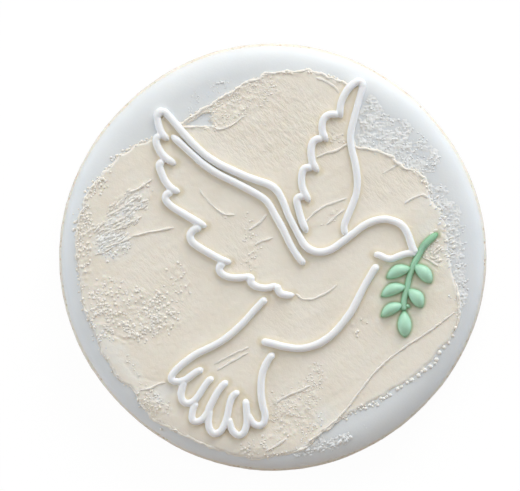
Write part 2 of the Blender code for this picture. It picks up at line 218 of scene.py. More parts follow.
def dough_finish():
    """Pale gold crumb, browner towards the foot, with a fine open grain whose pits are painted darker as
    shade.
    """
    material, tree, shader = new_finish("baked_dough")
    place = object_place(tree)
    pale, golden = (0.87, 0.84, 0.75, 1), (0.81, 0.75, 0.63, 1)
    brown, pit_shade_brown = (0.42, 0.28, 0.14, 1), (0.64, 0.52, 0.37, 1)
    tone = blended(tree, remapped(tree, noise(tree, place, 260.0, 4.0), 0.35, 0.65), pale, golden)
    height = put(tree, "ShaderNodeSeparateXYZ", {"Vector": place}).outputs["Z"]
    baked = blended(tree, remapped(tree, height, 4.6 * MM, 0.1 * MM, 0.0, 0.85), tone, brown)
    # The pores are sunk by the bump and painted darker brown: a painted shade in the pits.
    pores = put(tree, "ShaderNodeTexVoronoi", {"Vector": place, "Scale": 900.0, "Randomness": 1.0})
    pit = remapped(tree, pores.outputs["Distance"], 0.05, 0.32)
    rise = worked_out(tree, "MULTIPLY", noise(tree, place, 1700.0, 5.0), pit)
    colour, normal = blended(tree, pit, pit_shade_brown, baked), bumped(tree, rise, 0.25 * MM, 0.8)
    fill(tree, shader, {"Base Color": colour, "Normal": normal, "Roughness": 0.85})
    fill(tree, shader, {"Subsurface Weight": 0.12, "Subsurface Scale": 0.8 * MM})
    return material


points, rings = biscuit_points()
biscuit_mesh = make_mesh("biscuit", points, turned_faces(rings, BISCUIT_STEPS))
set_piece("biscuit_disc", biscuit_mesh, dough_finish(), ["biscuit"])

# White icing -----------------------------------------------------------------------------------
# Runny white icing flooded over the biscuit almost to its edge. It settles level in the middle
# and rounds over at the edge, where it sets a little matt.

FLOOD_RADIUS = 39.42 * MM
FLOOD_DOME = 4.9 * MM
FLOOD_FLAT = FLOOD_RADIUS - FLOOD_DOME
FLOOD_TOP = 9.3 * MM
FLOOD_LIP = 6.85 * MM
FLOOD_LIP_ROUND = 0.4 * MM
# How unevenly it spread and settled.
FLOOD_SPREADS = (0.05 * MM, 0.03 * MM)
FLOOD_SWELL = 0.025 * MM
FLOOD_STEPS = 360


def flood_height(radius):
    """Height of the icing's top: level, then a quarter ellipse down to the lip."""
    along = np.clip((radius - FLOOD_FLAT) / FLOOD_DOME, 0, 1)
    return FLOOD_LIP + (FLOOD_TOP - FLOOD_LIP) * np.sqrt(1 - along**2)


def white_level(place):
    """Height of the white icing's top at places in plan."""
    return flood_height(np.hypot(place[..., 0], place[..., 1]))


def flood_points():
    """Level top, dome and a tucked-under lip, with slow swells where the icing settled unevenly."""
    level = np.stack([np.linspace(2, 33, 24) * MM, np.full(24, FLOOD_TOP)], axis=1)
    turn = np.radians(np.linspace(0, 90, 26))
    dome_height = FLOOD_LIP + (FLOOD_TOP - FLOOD_LIP) * np.cos(turn)
    dome = np.stack([FLOOD_FLAT + FLOOD_DOME * np.sin(turn), dome_height], axis=1)
    lip = quarter(FLOOD_RADIUS - FLOOD_LIP_ROUND, FLOOD_LIP, FLOOD_LIP_ROUND, -15, -90, 6)
    under = np.stack([np.linspace(37, 2, 8) * MM, np.full(8, FLOOD_LIP - FLOOD_LIP_ROUND)], axis=1)
    profile = np.concatenate([level, dome, lip, under])
    points = turned_points(profile, FLOOD_STEPS)
    slow, quick = FLOOD_SPREADS
    spread = slow * soft_noise(points * [1, 1, 0], 7 * MM, 21) + quick * soft_noise(points, 2.5 * MM, 22)
    push_out(points, profile, 34 * MM, 5 * MM, spread)
    upper = (profile[:, 1] > FLOOD_LIP)[:, None]
    points[:, :, 2] += upper * FLOOD_SWELL * soft_noise(points * [1, 1, 0], 6 * MM, 23)
    poles = [[0, 0, FLOOD_TOP], [0, 0, FLOOD_LIP - FLOOD_LIP_ROUND]]
    return np.concatenate([points.reshape(-1, 3), poles]), len(profile)


def sugar_grain_group():
    """Fine sugar grain: two sizes of noise added, as a height. Grain Size is the coarser one in metres."""
    group = bpy.data.node_groups.new("sugar_grain", "ShaderNodeTree")
    sockets = [("Vector", "INPUT", "Vector"), ("Grain Size", "INPUT", "Float"), ("Height", "OUTPUT", "Float")]
    for name, way, kind in sockets:
        group.interface.new_socket(name, in_out=way, socket_type=f"NodeSocket{kind}")
    entry = put(group, "NodeGroupInput")
    place = entry.outputs["Vector"]
    coarse_scale = worked_out(group, "DIVIDE", 1.0, entry.outputs["Grain Size"])
    fine_scale = worked_out(group, "MULTIPLY", coarse_scale, 2.7)
    half = worked_out(group, "MULTIPLY", noise(group, place, fine_scale, 3.0), 0.5)
    total = worked_out(group, "ADD", noise(group, place, coarse_scale, 2.0), half)
    put(group, "NodeGroupOutput", {"Height": total})
    return group


SUGAR_GRAIN = sugar_grain_group()


def sugar_grain(tree, place, size):
    """Height output of the sugar grain at a size in metres."""
    grain = put(tree, "ShaderNodeGroup", node_tree=SUGAR_GRAIN)
    fill(tree, grain, {"Vector": place, "Grain Size": size})
    return grain.outputs["Height"]


def icing_finish(name, light, deep, grain, depth, roughness, glow):
    """Set icing: two close tones in slow drifts, a sugar grain, and light that goes a little way in."""
    material, tree, shader = new_finish(name)
    place = object_place(tree)
    drift = noise(tree, place, 130.0, 3.0)
    colour = blended(tree, remapped(tree, drift, 0.35, 0.65), (*light, 1), (*deep, 1))
    normal = bumped(tree, sugar_grain(tree, place, grain), depth, 0.6)
    gloss = remapped(tree, drift, 0.3, 0.7, roughness - 0.04, roughness + 0.05)
    fill(tree, shader, {"Base Color": colour, "Normal": normal, "Roughness": gloss})
    fill(tree, shader, {"Subsurface Weight": glow, "Subsurface Scale": 1.0 * MM, "IOR": 1.45})
    shader.inputs["Subsurface Radius"].default_value = (1.0, 0.85, 0.7)
    return material


def tint(material, share_of, colour):
    """Blends a finish's own colour into another one, by a share that share_of(tree) puts out."""
    tree, shader = material.node_tree, material.node_tree.nodes["Principled BSDF"]
    own = shader.inputs["Base Color"].links[0].from_socket
    fill(tree, shader, {"Base Color": blended(tree, share_of(tree), own, (*colour, 1))})
    return material


def thin_lip_and_shade(tree):
    """Share output that grows from 0 to 0.32 down the last of the dome, where the icing is thinnest: the
    biscuit showing through, and a painted warm shade on the lip.
    """
    height = put(tree, "ShaderNodeSeparateXYZ", {"Vector": object_place(tree)}).outputs["Z"]
    return remapped(tree, height, 8.2 * MM, 7.0 * MM, 0.0, 0.32)


WHITE_TONES = (0.84, 0.865, 0.872), (0.81, 0.84, 0.852)
WHITE_ICING = icing_finish("white_icing", *WHITE_TONES, 0.4 * MM, 0.03 * MM, 0.5, 0.25)
# The biscuit's colour comes through where the icing is thin, and the lip is also darkened with a painted warm
# shade.
tint(WHITE_ICING, thin_lip_and_shade, (0.76, 0.69, 0.57))

points, rings = flood_points()
flood_mesh = make_mesh("white_icing", points, turned_faces(rings, FLOOD_STEPS))
set_piece("flooded_icing", flood_mesh, WHITE_ICING, ["white_icing"])

# Cream coat ------------------------------------------------------------------------------------
# Stiff cream icing dragged over the white with a palette knife while the white was firm. The knife
# leaves a raised bead at the edge, long ridges where passes met, ripples, and clusters of beads.

COAT_STEP = 0.205 * MM
COAT_BODY = 0.22 * MM
COAT_DIVE = 0.22 * MM
# How far the coat's edge wanders, and its windows' edges.
EDGE_WANDER = 0.22 * MM
WINDOW_WANDER = 0.25 * MM
# Heights of what the knife left: long swells, drag marks, ripples, pits, lumps and crust.
SWELL, DRAG, RIPPLE, PIT = 0.05 * MM, 0.025 * MM, 0.038 * MM, 0.020 * MM
LUMP, CRUST = 0.10 * MM, 0.07 * MM
# Height of the bead along the coat's edge and how much it varies, in millimetres.
EDGE_BEAD, EDGE_BEAD_CHANGE = 0.07, 0.05
# Direction of the ripples in degrees, and how rippled the coat is everywhere.
RIPPLE_TURN = -48
RIPPLE_LEAST = 0.2
COAT_OUTLINE = [
    (0, 34.6), (-1.5, 34.2), (-3, 33.4), (-5, 32.7), (-7, 31.5), (-9, 30.2), (-11, 29), (-13, 27.8),
    (-15, 26.4), (-17, 25.2), (-18.2, 25.2), (-19.6, 26), (-20.9, 26.2), (-21.4, 24.6), (-21.6, 22.9),
    (-23.5, 21.7), (-25.2, 21.2), (-27.2, 20), (-29.3, 18.7), (-30.5, 17.2), (-32.2, 15), (-33.1, 14.2),
    (-34.6, 12), (-35.3, 10), (-36.3, 7), (-36.7, 5), (-36.8, 3.5), (-36.7, 0), (-36.3, -4), (-35.9, -6.5),
    (-35.6, -8.5), (-35, -10.3), (-34.4, -11.5), (-33.8, -13), (-33.2, -14.8), (-32.7, -16.3),
    (-32.1, -18), (-31.2, -19.3), (-30.5, -20.5), (-29.3, -22.3), (-28.3, -23.3), (-27, -24), (-26.2, -25),
    (-25.5, -26), (-25.2, -27.2), (-24.3, -28.2), (-23.3, -29.2), (-22, -30.5), (-19, -32.2), (-17, -33.2),
    (-13.5, -34.8), (-10, -36.2), (-8, -36.8), (-6, -37.2), (-3, -37.8), (0, -37.4), (3, -36.8),
    (5, -36.3), (7, -35.2), (8, -34), (10, -32.3), (12.3, -30.8), (15, -29.2), (18, -27.7), (20, -26.7),
    (22.5, -25.1), (25.5, -23.2), (28.4, -20.9), (30.2, -19.4), (31.2, -17.8), (32.3, -16.6),
    (33.4, -15.4), (34.1, -13.8), (34.8, -12), (34.9, -10), (35, -8), (34.3, -5), (33.5, -1), (33.2, 2),
    (33.2, 4.5), (32.7, 6.5), (32, 8), (31, 9.5), (30, 10.7), (29.3, 12), (28.8, 13.5), (28.2, 15),
    (27, 16), (25, 16.8), (23, 17.8), (22.5, 18.7), (21, 19.3), (19.5, 20), (17.5, 20.3), (15.5, 20.6),
    (15, 22), (15, 24), (15.6, 26.5), (16.2, 29), (16.4, 31.5), (15.4, 32.6), (13.7, 32.5), (12, 33.1),
    (10, 34), (8, 34.6), (6.5, 35), (4.5, 34.7), (2, 34.8),
]
# Windows scraped right through to the white.
COAT_WINDOWS = [
    [(-16.9, 24.6), (-15.6, 25.2), (-13.8, 26.2), (-12.2, 27), (-11.3, 26.6), (-11.9, 25.6),
     (-11, 24.8), (-12.6, 24.65), (-15, 24.6)],
]
# Ridges: route, height, width on the steep side, width on the shallow side, in millimetres.
# The steep side is on the right hand of the direction the route runs in.
COAT_RIDGES = [
    ([(6.5, -34.6), (8.3, -33.4), (10, -32), (12.3, -30), (14.8, -27), (17, -24), (19.8, -20.8),
      (22.5, -18.4), (25, -16.6), (28, -14.7), (31, -12.5), (34, -10.2)], 0.093, 0.16, 0.8),
    ([(4.3, -6.8), (5.5, -7.7), (7, -7.9), (8.5, -7.4), (10.3, -6.5), (12, -5.2)], 0.087, 0.2, 0.4),
    ([(-11, 24.3), (-10, 23.9), (-8, 24.5), (-6, 26), (-5, 26.5)], 0.099, 0.2, 0.35),
    ([(-17, 24.4), (-15, 24.35), (-13, 24.4), (-11.4, 24.4)], 0.099, 0.2, 0.25),
    ([(-26.5, 3.9), (-24, 4.5), (-21, 5), (-18.5, 5.6)], 0.093, 0.2, 0.4),
    ([(-27.3, 12), (-25, 12.9), (-22.5, 14.5)], 0.087, 0.2, 0.35),
    ([(-1, 8), (-2.5, 6.5), (-4.5, 5)], 0.074, 0.2, 0.35),
    ([(-3.5, 2.3), (-2, 3), (0, 3.7)], 0.074, 0.2, 0.35),
    ([(8, 18.6), (10, 19.5), (12, 20), (13.5, 20.9), (14.6, 21.6)], 0.093, 0.2, 0.4),
    ([(5.8, 6.2), (6.5, 7), (8, 8.5), (10, 9.7), (12, 10.4), (14, 11.1)], 0.087, 0.2, 0.4),
    ([(10, 6), (12, 7.8), (13.5, 9)], 0.062, 0.2, 0.35),
    ([(24.5, 10), (26.5, 11.2), (28, 11.7), (29, 11)], 0.074, 0.2, 0.35),
    ([(28, 0), (29.5, -0.7), (31, -1.8)], 0.074, 0.2, 0.35),
    ([(8, 33.6), (10, 32.8), (11.6, 31.8), (12.4, 30.6)], 0.074, 0.2, 0.35),
    ([(-11, -20), (-8, -18.4), (-4.5, -16.8)], 0.062, 0.18, 0.3),
    ([(-10.5, -21.2), (-7.5, -19.4), (-4.5, -17.8)], 0.062, 0.18, 0.3),
    ([(0, -27.5), (2.5, -26), (5, -25), (7, -24)], 0.081, 0.2, 0.4),
    ([(-25, -24.9), (-23, -24.5), (-21.5, -23.8), (-20, -23.4)], 0.087, 0.2, 0.35),
    ([(-28, -19.5), (-26.5, -21.3), (-25.8, -22.5), (-24, -22.7), (-22, -23.2), (-20.5, -23.4)],
     -0.074, 0.2, 0.3),
    ([(-31, -14), (-29.4, -14.7), (-27.6, -15.6), (-26.2, -16.6)], -0.099, 0.2, 0.3),
    ([(-13.7, 12.8), (-12.5, 11), (-10.5, 9), (-9, 8), (-7, 7.9)], 0.081, 0.2, 0.3),
    ([(-31.4, 4.4), (-28.5, 5.5), (-24.5, 7.6)], 0.081, 0.2, 0.3),
    ([(-31.1, 7.6), (-28.2, 9.2), (-24.8, 11.6)], 0.081, 0.2, 0.3),
    ([(-29.6, 9.3), (-28, 10.8), (-26.4, 12.6)], 0.074, 0.2, 0.3),
    ([(-31.7, 1.7), (-29, 2.6), (-26.1, 3.8)], 0.081, 0.2, 0.3),
    ([(-33.3, 0.4), (-31.4, 1.1), (-29.5, 2)], 0.074, 0.2, 0.3),
    ([(-30.6, 5.9), (-27.6, 7.6), (-25.6, 9.4)], 0.074, 0.2, 0.3),
    ([(-1.5, -36.3), (0.5, -35.3), (2.5, -34)], 0.062, 0.2, 0.3),
    ([(20.5, 15.6), (22.5, 16.8), (24.4, 18)], 0.04, 0.2, 0.3),
]
# Patches, as middle, half-widths, turn in degrees and amount: where the ripples are strongest.
RIPPLE_PATCHES = [
    (-1, 25, 13, 8, -10, 1), (-22, -6, 8, 9, 0, 0.5), (17, -19, 10, 6, 40, 0.25), (22, 14, 6, 4, 20, 0.65),
    (5, -12, 6, 4, 0, 0.35), (-2, -30, 9, 5, 0, 0.25), (-6, 2, 4, 5, 0, 0.5), (31, 2, 4, 5, 0, 0.3),
]
# Where the beads cluster.
BEAD_PATCHES = [
    (-31.5, -11.5, 4, 3, 0, 0.9), (-24.5, -11, 6, 4.5, 0, 0.95), (-31, -6.5, 4, 2.5, 0, 0.5),
    (-35.2, 3.5, 1.2, 8.5, 0, 0.9), (-28.5, 7.5, 6.5, 2.6, 45, 0.8), (-18, -5.5, 2.5, 4, 0, 0.25),
    (-4.5, 2, 2, 5, 0, 0.45), (7, -24.5, 2.2, 4.8, -25, 0.85), (4, -29.5, 4.8, 3.8, -30, 0.8),
    (16.5, -12.5, 2, 2, 0, 0.15), (-22.3, -27.3, 3.4, 2, -35, 0.95), (-11.2, 26.4, 3.2, 1.5, 30, 0.75),
    (-5.5, 29.5, 7, 2.9, 33, 0.75), (11.9, 22.1, 1.5, 0.9, 0, 0.7), (32, 2, 4, 3, 0, 0.4),
    (-30, 2.2, 3.2, 2.6, 0, 1), (-32.5, 13, 2.5, 1.2, 50, 0.35), (-2.5, -35.2, 5.5, 1.3, 18, 0.6),
    (10.6, 7.3, 2.6, 0.9, 42, 0.35),
]
# Where the drops are finer than elsewhere.
FINE_PATCHES = [
    (4, -28, 7, 9, 0, 1), (-7.5, 28.5, 9, 4, 33, 0.9), (11.5, 21.5, 3, 2, 0, 0.8), (-4.5, 2, 3, 6, 0, 0.7),
    (10.6, 7.3, 3.5, 2, 42, 1), (-22.3, -27.3, 4.5, 3, -35, 0.6),
]
# Where they are larger.
COARSE_PATCHES = [(-25.5, -10.5, 8, 5.5, 0, 1)]
# Where the white shows through or was picked up by the knife.
PALE_PATCHES = [
    (-30, 2.2, 3.6, 2.6, 0, 0.95), (-27.5, 8.5, 6, 1.5, 45, 0.75), (-30, -17.5, 3.8, 2.2, -35, 0.6),
    (-27, -20.5, 3.4, 2, -50, 0.5), (10, -29.7, 2.4, 2, 30, 0.75), (34, 1, 2.4, 4.5, 0, 0.7),
    (-33, -14, 1.6, 2, 0, 0.6), (-20.2, -25.6, 2.6, 1.9, 10, 0.85), (-13, 25, 3, 1.4, 20, 0.3),
    (6, -36, 6, 1.2, 20, 0.6), (30.2, 5.5, 3, 6.5, 12, 0.45),
]
# Where the coat thins out to a film, with no cord at its edge.
THIN_EDGES = [
    (32, 5, 3.5, 9, 10, 1), (-29.5, -19, 2.5, 8, 33, 0.6), (-4, -37, 9, 1.5, 0, 0.4),
    (-36, -5, 1.5, 5, 0, 0.4), (24, -24, 14, 4.5, 40, 1), (-27, 20.5, 8, 3, 25, 0.5),
]


def smooth_route(route, step, closed=False):
    """Evenly spaced points, in metres, on a Catmull-Rom curve through a route in millimetres."""
    knots = np.array(route, float) * MM
    ends = (knots[-1:], knots[:2]) if closed else (2 * knots[:1] - knots[1:2], 2 * knots[-1:] - knots[-2:-1])
    knots = np.vstack([ends[0], knots, ends[1]])
    t = np.linspace(0, 1, 16, endpoint=False)[:, None]
    before, start, end, after = (knots[i : len(knots) - 3 + i, None] for i in range(4))
    fine = 0.5 * (
        2 * start
        + (end - before) * t
        + (2 * before - 5 * start + 4 * end - after) * t**2
        + (3 * start - before - 3 * end + after) * t**3
    )
    fine = np.vstack([fine.reshape(-1, 2), knots[-2]])
    along = np.concatenate([[0], np.cumsum(np.hypot(*np.diff(fine, axis=0).T))])
    at = np.linspace(0, along[-1], max(4, round(along[-1] / step) + 1))
    points = np.stack([np.interp(at, along, fine[:, i]) for i in range(2)], axis=1)
    return points[:-1] if closed else points


def smooth_step(value, low, high):
    """0 below low, 1 above high, and an S curve in between."""
    t = np.clip((value - low) / (high - low), 0, 1)
    return t * t * (3 - 2 * t)


def nearest_on_route(place, route):
    """For each place: distance to a route, which side it is on (+1 left), and the share along it."""
    best = np.full(place.shape[:-1], np.inf)
    side = np.ones(best.shape)
    share = np.zeros(best.shape)
    starts, ends = route[:-1], route[1:]
    for number, (start, end) in enumerate(zip(starts, ends)):
        along = end - start
        t = np.clip((place - start) @ along / (along @ along), 0, 1)
        offset = place - start - t[..., None] * along
        gap = np.hypot(offset[..., 0], offset[..., 1])
        turn = along[0] * (place[..., 1] - start[1]) - along[1] * (place[..., 0] - start[0])
        closer = gap < best
        best = np.where(closer, gap, best)
        side = np.where(closer, np.sign(turn), side)
        share = np.where(closer, (number + t) / len(starts), share)
    return best, side, share


def depth_inside(place, outline):
    """Distance in from a closed outline: above 0 inside it and below 0 outside."""
    route = smooth_route(outline, 0.8 * MM, closed=True)
    route = np.vstack([route, route[:1]])
    gap = nearest_on_route(place, route)[0]
    inside = np.zeros(gap.shape, bool)
    for (ax, ay), (bx, by) in zip(route[:-1], route[1:]):
        if ay != by:
            crosses = (ay > place[..., 1]) != (by > place[..., 1])
            inside ^= crosses & (place[..., 0] < ax + (place[..., 1] - ay) * (bx - ax) / (by - ay))
    return np.where(inside, gap, -gap)


def patch_amount(place, patches):
    """Strongest of several soft-edged ellipses at each place, from 0 to 1."""
    amount = np.zeros(place.shape[:-1])
    for x, y, half_x, half_y, turn, strength in patches:
        c, s = math.cos(math.radians(turn)), math.sin(math.radians(turn))
        offset = place / MM - (x, y)
        u = (offset[..., 0] * c + offset[..., 1] * s) / half_x
        v = (offset[..., 1] * c - offset[..., 0] * s) / half_y
        reach = np.sqrt(u * u + v * v)
        amount = np.maximum(amount, strength * smooth_step(-reach, -1.35, -0.65))
    return amount


def turned_to(place, degrees):
    """Coordinates along and across a direction turned from +X."""
    c, s = math.cos(math.radians(degrees)), math.sin(math.radians(degrees))
    return np.stack([place[..., 0] * c + place[..., 1] * s, place[..., 1] * c - place[..., 0] * s], axis=-1)


def ripples(place, degrees, length, pitch, seed):
    """Short wavy crests: 1 where stretched, bent noise crosses zero, falling to -1 away from it."""
    bend = 0.5 * pitch * soft_noise(place, 3.1 * MM, seed + 7)
    along = turned_to(place, degrees) + np.stack([bend * 0, bend], axis=-1)
    first = 1 - 2.4 * np.abs(soft_noise(along, (length, pitch), seed))
    second = soft_noise(along, (length * 0.5, pitch * 0.55), seed + 1)
    return np.clip(0.7 * first + 0.45 * second, -1, 1)


def beads(place, cell, seed, share):
    """Round lumps: in each cell of a jittered grid, a dome if a seeded draw is under the local share."""
    rng = np.random.default_rng(seed)
    table = rng.uniform(0, 1, (4096, 4))
    home = np.floor(place / cell).astype(np.int64)
    rise = np.zeros(place.shape[:-1])
    for step in itertools.product((-1, 0, 1), repeat=2):
        at = home + step
        draw = table[((at[..., 0] * 73856093) ^ (at[..., 1] * 19349663)) & 4095]
        middle = (at + 0.2 + 0.6 * draw[..., :2]) * cell
        size = cell * (0.38 + 0.3 * draw[..., 2])
        gap = np.hypot(place[..., 0] - middle[..., 0], place[..., 1] - middle[..., 1]) / size
        dome = np.sqrt(np.clip(1 - gap**2, 0, 1)) * (0.5 + 0.5 * draw[..., 2])
        rise = np.maximum(rise, np.where(draw[..., 3] < share, dome, 0))
    return rise


def boxed(place, line, margin):
    """Which places lie in the box round a line, a margin wider."""
    return np.all((place > line.min(axis=0) - margin) & (place < line.max(axis=0) + margin), axis=-1)


def ridge_rise(place, ridges):
    """Crest along each route: a steep fall on its right, a shallow one on its left, fading at the ends."""
    rise = np.zeros(place.shape[:-1])
    for route, height, steep, shallow in ridges:
        line = smooth_route(route, 0.8 * MM)
        near = boxed(place, line, 2 * MM)
        gap, side, share = nearest_on_route(place[near], line)
        width = np.where(side < 0, steep, shallow) * MM
        fade = np.clip(np.minimum(share, 1 - share) / 0.12, 0, 1) ** 0.5
        uneven = 0.8 + 0.35 * soft_noise(place[near], 0.9 * MM, 61)
        rise[near] += height * MM * fade * uneven * np.exp(-((gap / width) ** 2))
    return rise


def edge_wander(place):
    """How far the coat's edge lies off its outline."""
    return EDGE_WANDER * layered_noise(place, 1.3 * MM, 31, 2)


def coat_level(place):
    """Depth in from the coat's edge, and its thickness: level inside, under the white's top outside."""
    depth = depth_inside(place, COAT_OUTLINE) + edge_wander(place)
    wander = WINDOW_WANDER * soft_noise(place, 1.2 * MM, 37)
    for window in COAT_WINDOWS:
        depth = np.minimum(depth, wander - depth_inside(place, window))
    film = patch_amount(place, THIN_EDGES) * MM
    rise = smooth_step((depth + 0.16 * MM) / (0.30 * MM + 0.7 * film), 0, 1)
    return depth, (COAT_BODY + COAT_DIVE) * rise - COAT_DIVE


def coat_relief(place, depth):
    """Everything the knife left on the coat, as a height to add."""
    swell = SWELL * soft_noise(turned_to(place, 35), (14 * MM, 5 * MM), 41)
    drag = DRAG * soft_noise(turned_to(place, 32), (9 * MM, 1.3 * MM), 43)
    amount = RIPPLE_LEAST + patch_amount(place, RIPPLE_PATCHES)
    rippled = RIPPLE * amount * ripples(place, RIPPLE_TURN, 1.7 * MM, 0.60 * MM, 45)
    pitted = PIT * soft_noise(place, 0.55 * MM, 49)
    cluster = patch_amount(place, BEAD_PATCHES) * (0.75 + 0.5 * soft_noise(place, 2.2 * MM, 51))
    lumps = LUMP * beads(place, 0.72 * MM, 53, 0.8 * cluster)
    crust = CRUST * cluster * layered_noise(place, 0.7 * MM, 55, 2)
    edge = np.exp(-(((depth - 0.30 * MM) / (0.30 * MM)) ** 2))
    bead_edge = edge * (EDGE_BEAD + EDGE_BEAD_CHANGE * soft_noise(place, 1.1 * MM, 57)) * MM
    bead_edge *= 1 - 0.85 * patch_amount(place, THIN_EDGES)
    return swell + drag + rippled + pitted + lumps + crust + bead_edge + ridge_rise(place, COAT_RIDGES)


def write_mark(mesh, name, values):
    """Writes one number at each point, for a finish to read."""
    layer = mesh.attributes.new(name, "FLOAT", "POINT")
    layer.data.foreach_set("value", np.broadcast_to(values, len(mesh.vertices)).astype(np.float32))


def close_underneath(mesh, bottom):
    """Drops the sheet's open edge straight down to a level and closes it with one flat face."""
    shape = bmesh.new()
    shape.from_mesh(mesh)
    rim = [edge for edge in shape.edges if edge.is_boundary]
    dropped = bmesh.ops.extrude_edge_only(shape, edges=rim)["geom"]
    for vert in (item for item in dropped if isinstance(item, bmesh.types.BMVert)):
        vert.co.z = bottom
    bmesh.ops.holes_fill(shape, edges=[edge for edge in shape.edges if edge.is_boundary], sides=0)
    bmesh.ops.recalc_face_normals(shape, faces=shape.faces)
    shape.to_mesh(mesh)
    shape.free()


def spread_mesh(name, low, high, step, height_of, bottom):
    """A sheet z = height(x, y) on a square grid, kept where height_of says, and closed underneath."""
    x = np.arange(low[0], high[0], step)
    y = np.arange(low[1], high[1], step)
    place = np.stack(np.meshgrid(x, y), axis=-1)
    height, kept, marks = height_of(place)
    use = kept[:-1, :-1] | kept[1:, :-1] | kept[:-1, 1:] | kept[1:, 1:]
    row, column = np.nonzero(use)
    first = row * len(x) + column
    quads = np.stack([first, first + 1, first + len(x) + 1, first + len(x)], axis=1)
    needed, packed = np.unique(quads, return_inverse=True)
    points = np.concatenate([place, height[..., None]], axis=-1).reshape(-1, 3)[needed]
    mesh = make_mesh(name, points, packed.reshape(-1, 4).tolist())
    for mark, values in marks.items():
        write_mark(mesh, mark, values.ravel()[needed])
    close_underneath(mesh, bottom)
    mesh.shade_smooth()
    return mesh


def coat_height(place):
    """Height of the cream coat, the places to keep, and how pale and how rippled it is."""
    depth, level = coat_level(place)
    relief = coat_relief(place, depth) * smooth_step(depth, -0.1 * MM, 0.3 * MM)
    height = white_level(place) + level + relief
    pale = patch_amount(place, PALE_PATCHES) * (0.9 + 0.5 * soft_noise(place, 1.4 * MM, 71))
    film = patch_amount(place, THIN_EDGES) * smooth_step(-depth, -1.6 * MM, -0.2 * MM)
    pale = np.maximum(pale, 0.8 * film)
    kept = depth_inside(place, COAT_OUTLINE) > -0.7 * MM
    return height, kept, {"pale": np.clip(pale, 0, 1), "rippled": patch_amount(place, RIPPLE_PATCHES)}


def painted(tree, mark):
    """Value output of a number written at the piece's points, 0 where there is none."""
    return put(tree, "ShaderNodeAttribute", attribute_name=mark).outputs["Fac"]


def cream_finish():
    """Cream icing with a dry sugary skin: paler where white icing mixed in (on crests and drops partly a
    painted highlight), darker and warmer beside the piped lines as painted shade, and green-brown beside the
    sprig, partly green that ran in and partly painted shadow.
    """
    material, tree, shader = new_finish("cream_icing")
    place = object_place(tree)
    drift = remapped(tree, noise(tree, place, 160.0, 5.0), 0.35, 0.65)
    colour = blended(tree, drift, (0.965, 0.895, 0.785, 1), (0.935, 0.86, 0.74, 1))
    # Painted shade beside the piped lines, paleness from white mixed in (on crests and drops partly a painted
    # highlight), and green that ran in with a painted shadow beside the sprig.
    changes = {"line_shade": (0.78, 0.68, 0.44), "pale": (0.955, 0.935, 0.87), "green_bleed_and_shade": (0.42, 0.50, 0.27)}
    for mark, changed in changes.items():
        colour = blended(tree, painted(tree, mark), colour, (*changed, 1))
    size = (1.0 * MM, 0.36 * MM, MM)
    dragged = {"Vector": place, "Rotation": (0, 0, math.radians(RIPPLE_TURN)), "Scale": size}
    along = put(tree, "ShaderNodeMapping", dragged, vector_type="TEXTURE").outputs[0]
    wave = put(tree, "ShaderNodeTexNoise", {"Vector": along, "Scale": 1.0, "Detail": 3.0, "Distortion": 0.7})
    depth = remapped(tree, painted(tree, "rippled"), 0.0, 1.0, 0.012, 0.17)
    waves = worked_out(tree, "MULTIPLY", wave.outputs["Fac"], depth)
    rise = worked_out(tree, "MULTIPLY_ADD", sugar_grain(tree, place, 0.30 * MM), 0.032, waves)
    fill(tree, shader, {"Base Color": colour, "Normal": bumped(tree, rise, MM), "Roughness": 0.62})
    fill(tree, shader, {"Subsurface Weight": 0.2, "Subsurface Scale": 0.8 * MM, "IOR": 1.45})
    shader.inputs["Subsurface Radius"].default_value = (1.0, 0.75, 0.5)
    return material


COAT_BOTTOM = 8.1 * MM
COAT_LOW, COAT_HIGH = (-38 * MM, -38.6 * MM), (36.5 * MM, 36 * MM)
coat_mesh = spread_mesh("cream_icing", COAT_LOW, COAT_HIGH, COAT_STEP, coat_height, COAT_BOTTOM)
CREAM_ICING = cream_finish()
set_piece("cream_coat", coat_mesh, CREAM_ICING, ["cream_icing"])

# Crests of the coat ----------------------------------------------------------------------------
# Cream icing squeezed up in a fine cord where the knife's edge ran: all round the coat, round the
# windows, and where one pass met the next. Each is thin, a little broken, and part of the coat.

CREST_STEP = 0.16 * MM
CREST_AROUND = 8
# How much paler the cords are than the coat: partly white icing mixed in, partly a painted highlight along
# them.
CREST_PALE_HIGHLIGHT = 0.3
CREST_SINK = 0.08 * MM
# Half width and height of the cord at the coat's edge. Half width of the cords on its ridges, and how much
# higher than their ridges they stand.
EDGE_CORD = (0.27, 0.19)
RIDGE_CORD_WIDTH = 0.21
RIDGE_CORD_SHARE = 1.45


def left_of(flat):
    """Unit steps to the left of a route at each of its points."""
    ahead = np.gradient(flat, axis=0)
    ahead /= np.hypot(ahead[:, 0], ahead[:, 1])[:, None]
    return np.stack([-ahead[:, 1], ahead[:, 0]], axis=1)


def domed(share):
    """Size of a rounded end: a quarter circle from nearly 0 to 1 as the share goes from 0 to 1."""
    return np.sqrt(1 - (1 - np.clip(share, 0.02, 1)) ** 2)


def carried(flat, left, out, height):
    """Points of a section carried along a route: out to its left, at a height."""
    return np.concatenate([flat[:, None] + out[..., None] * left[:, None], height[..., None]], axis=2)


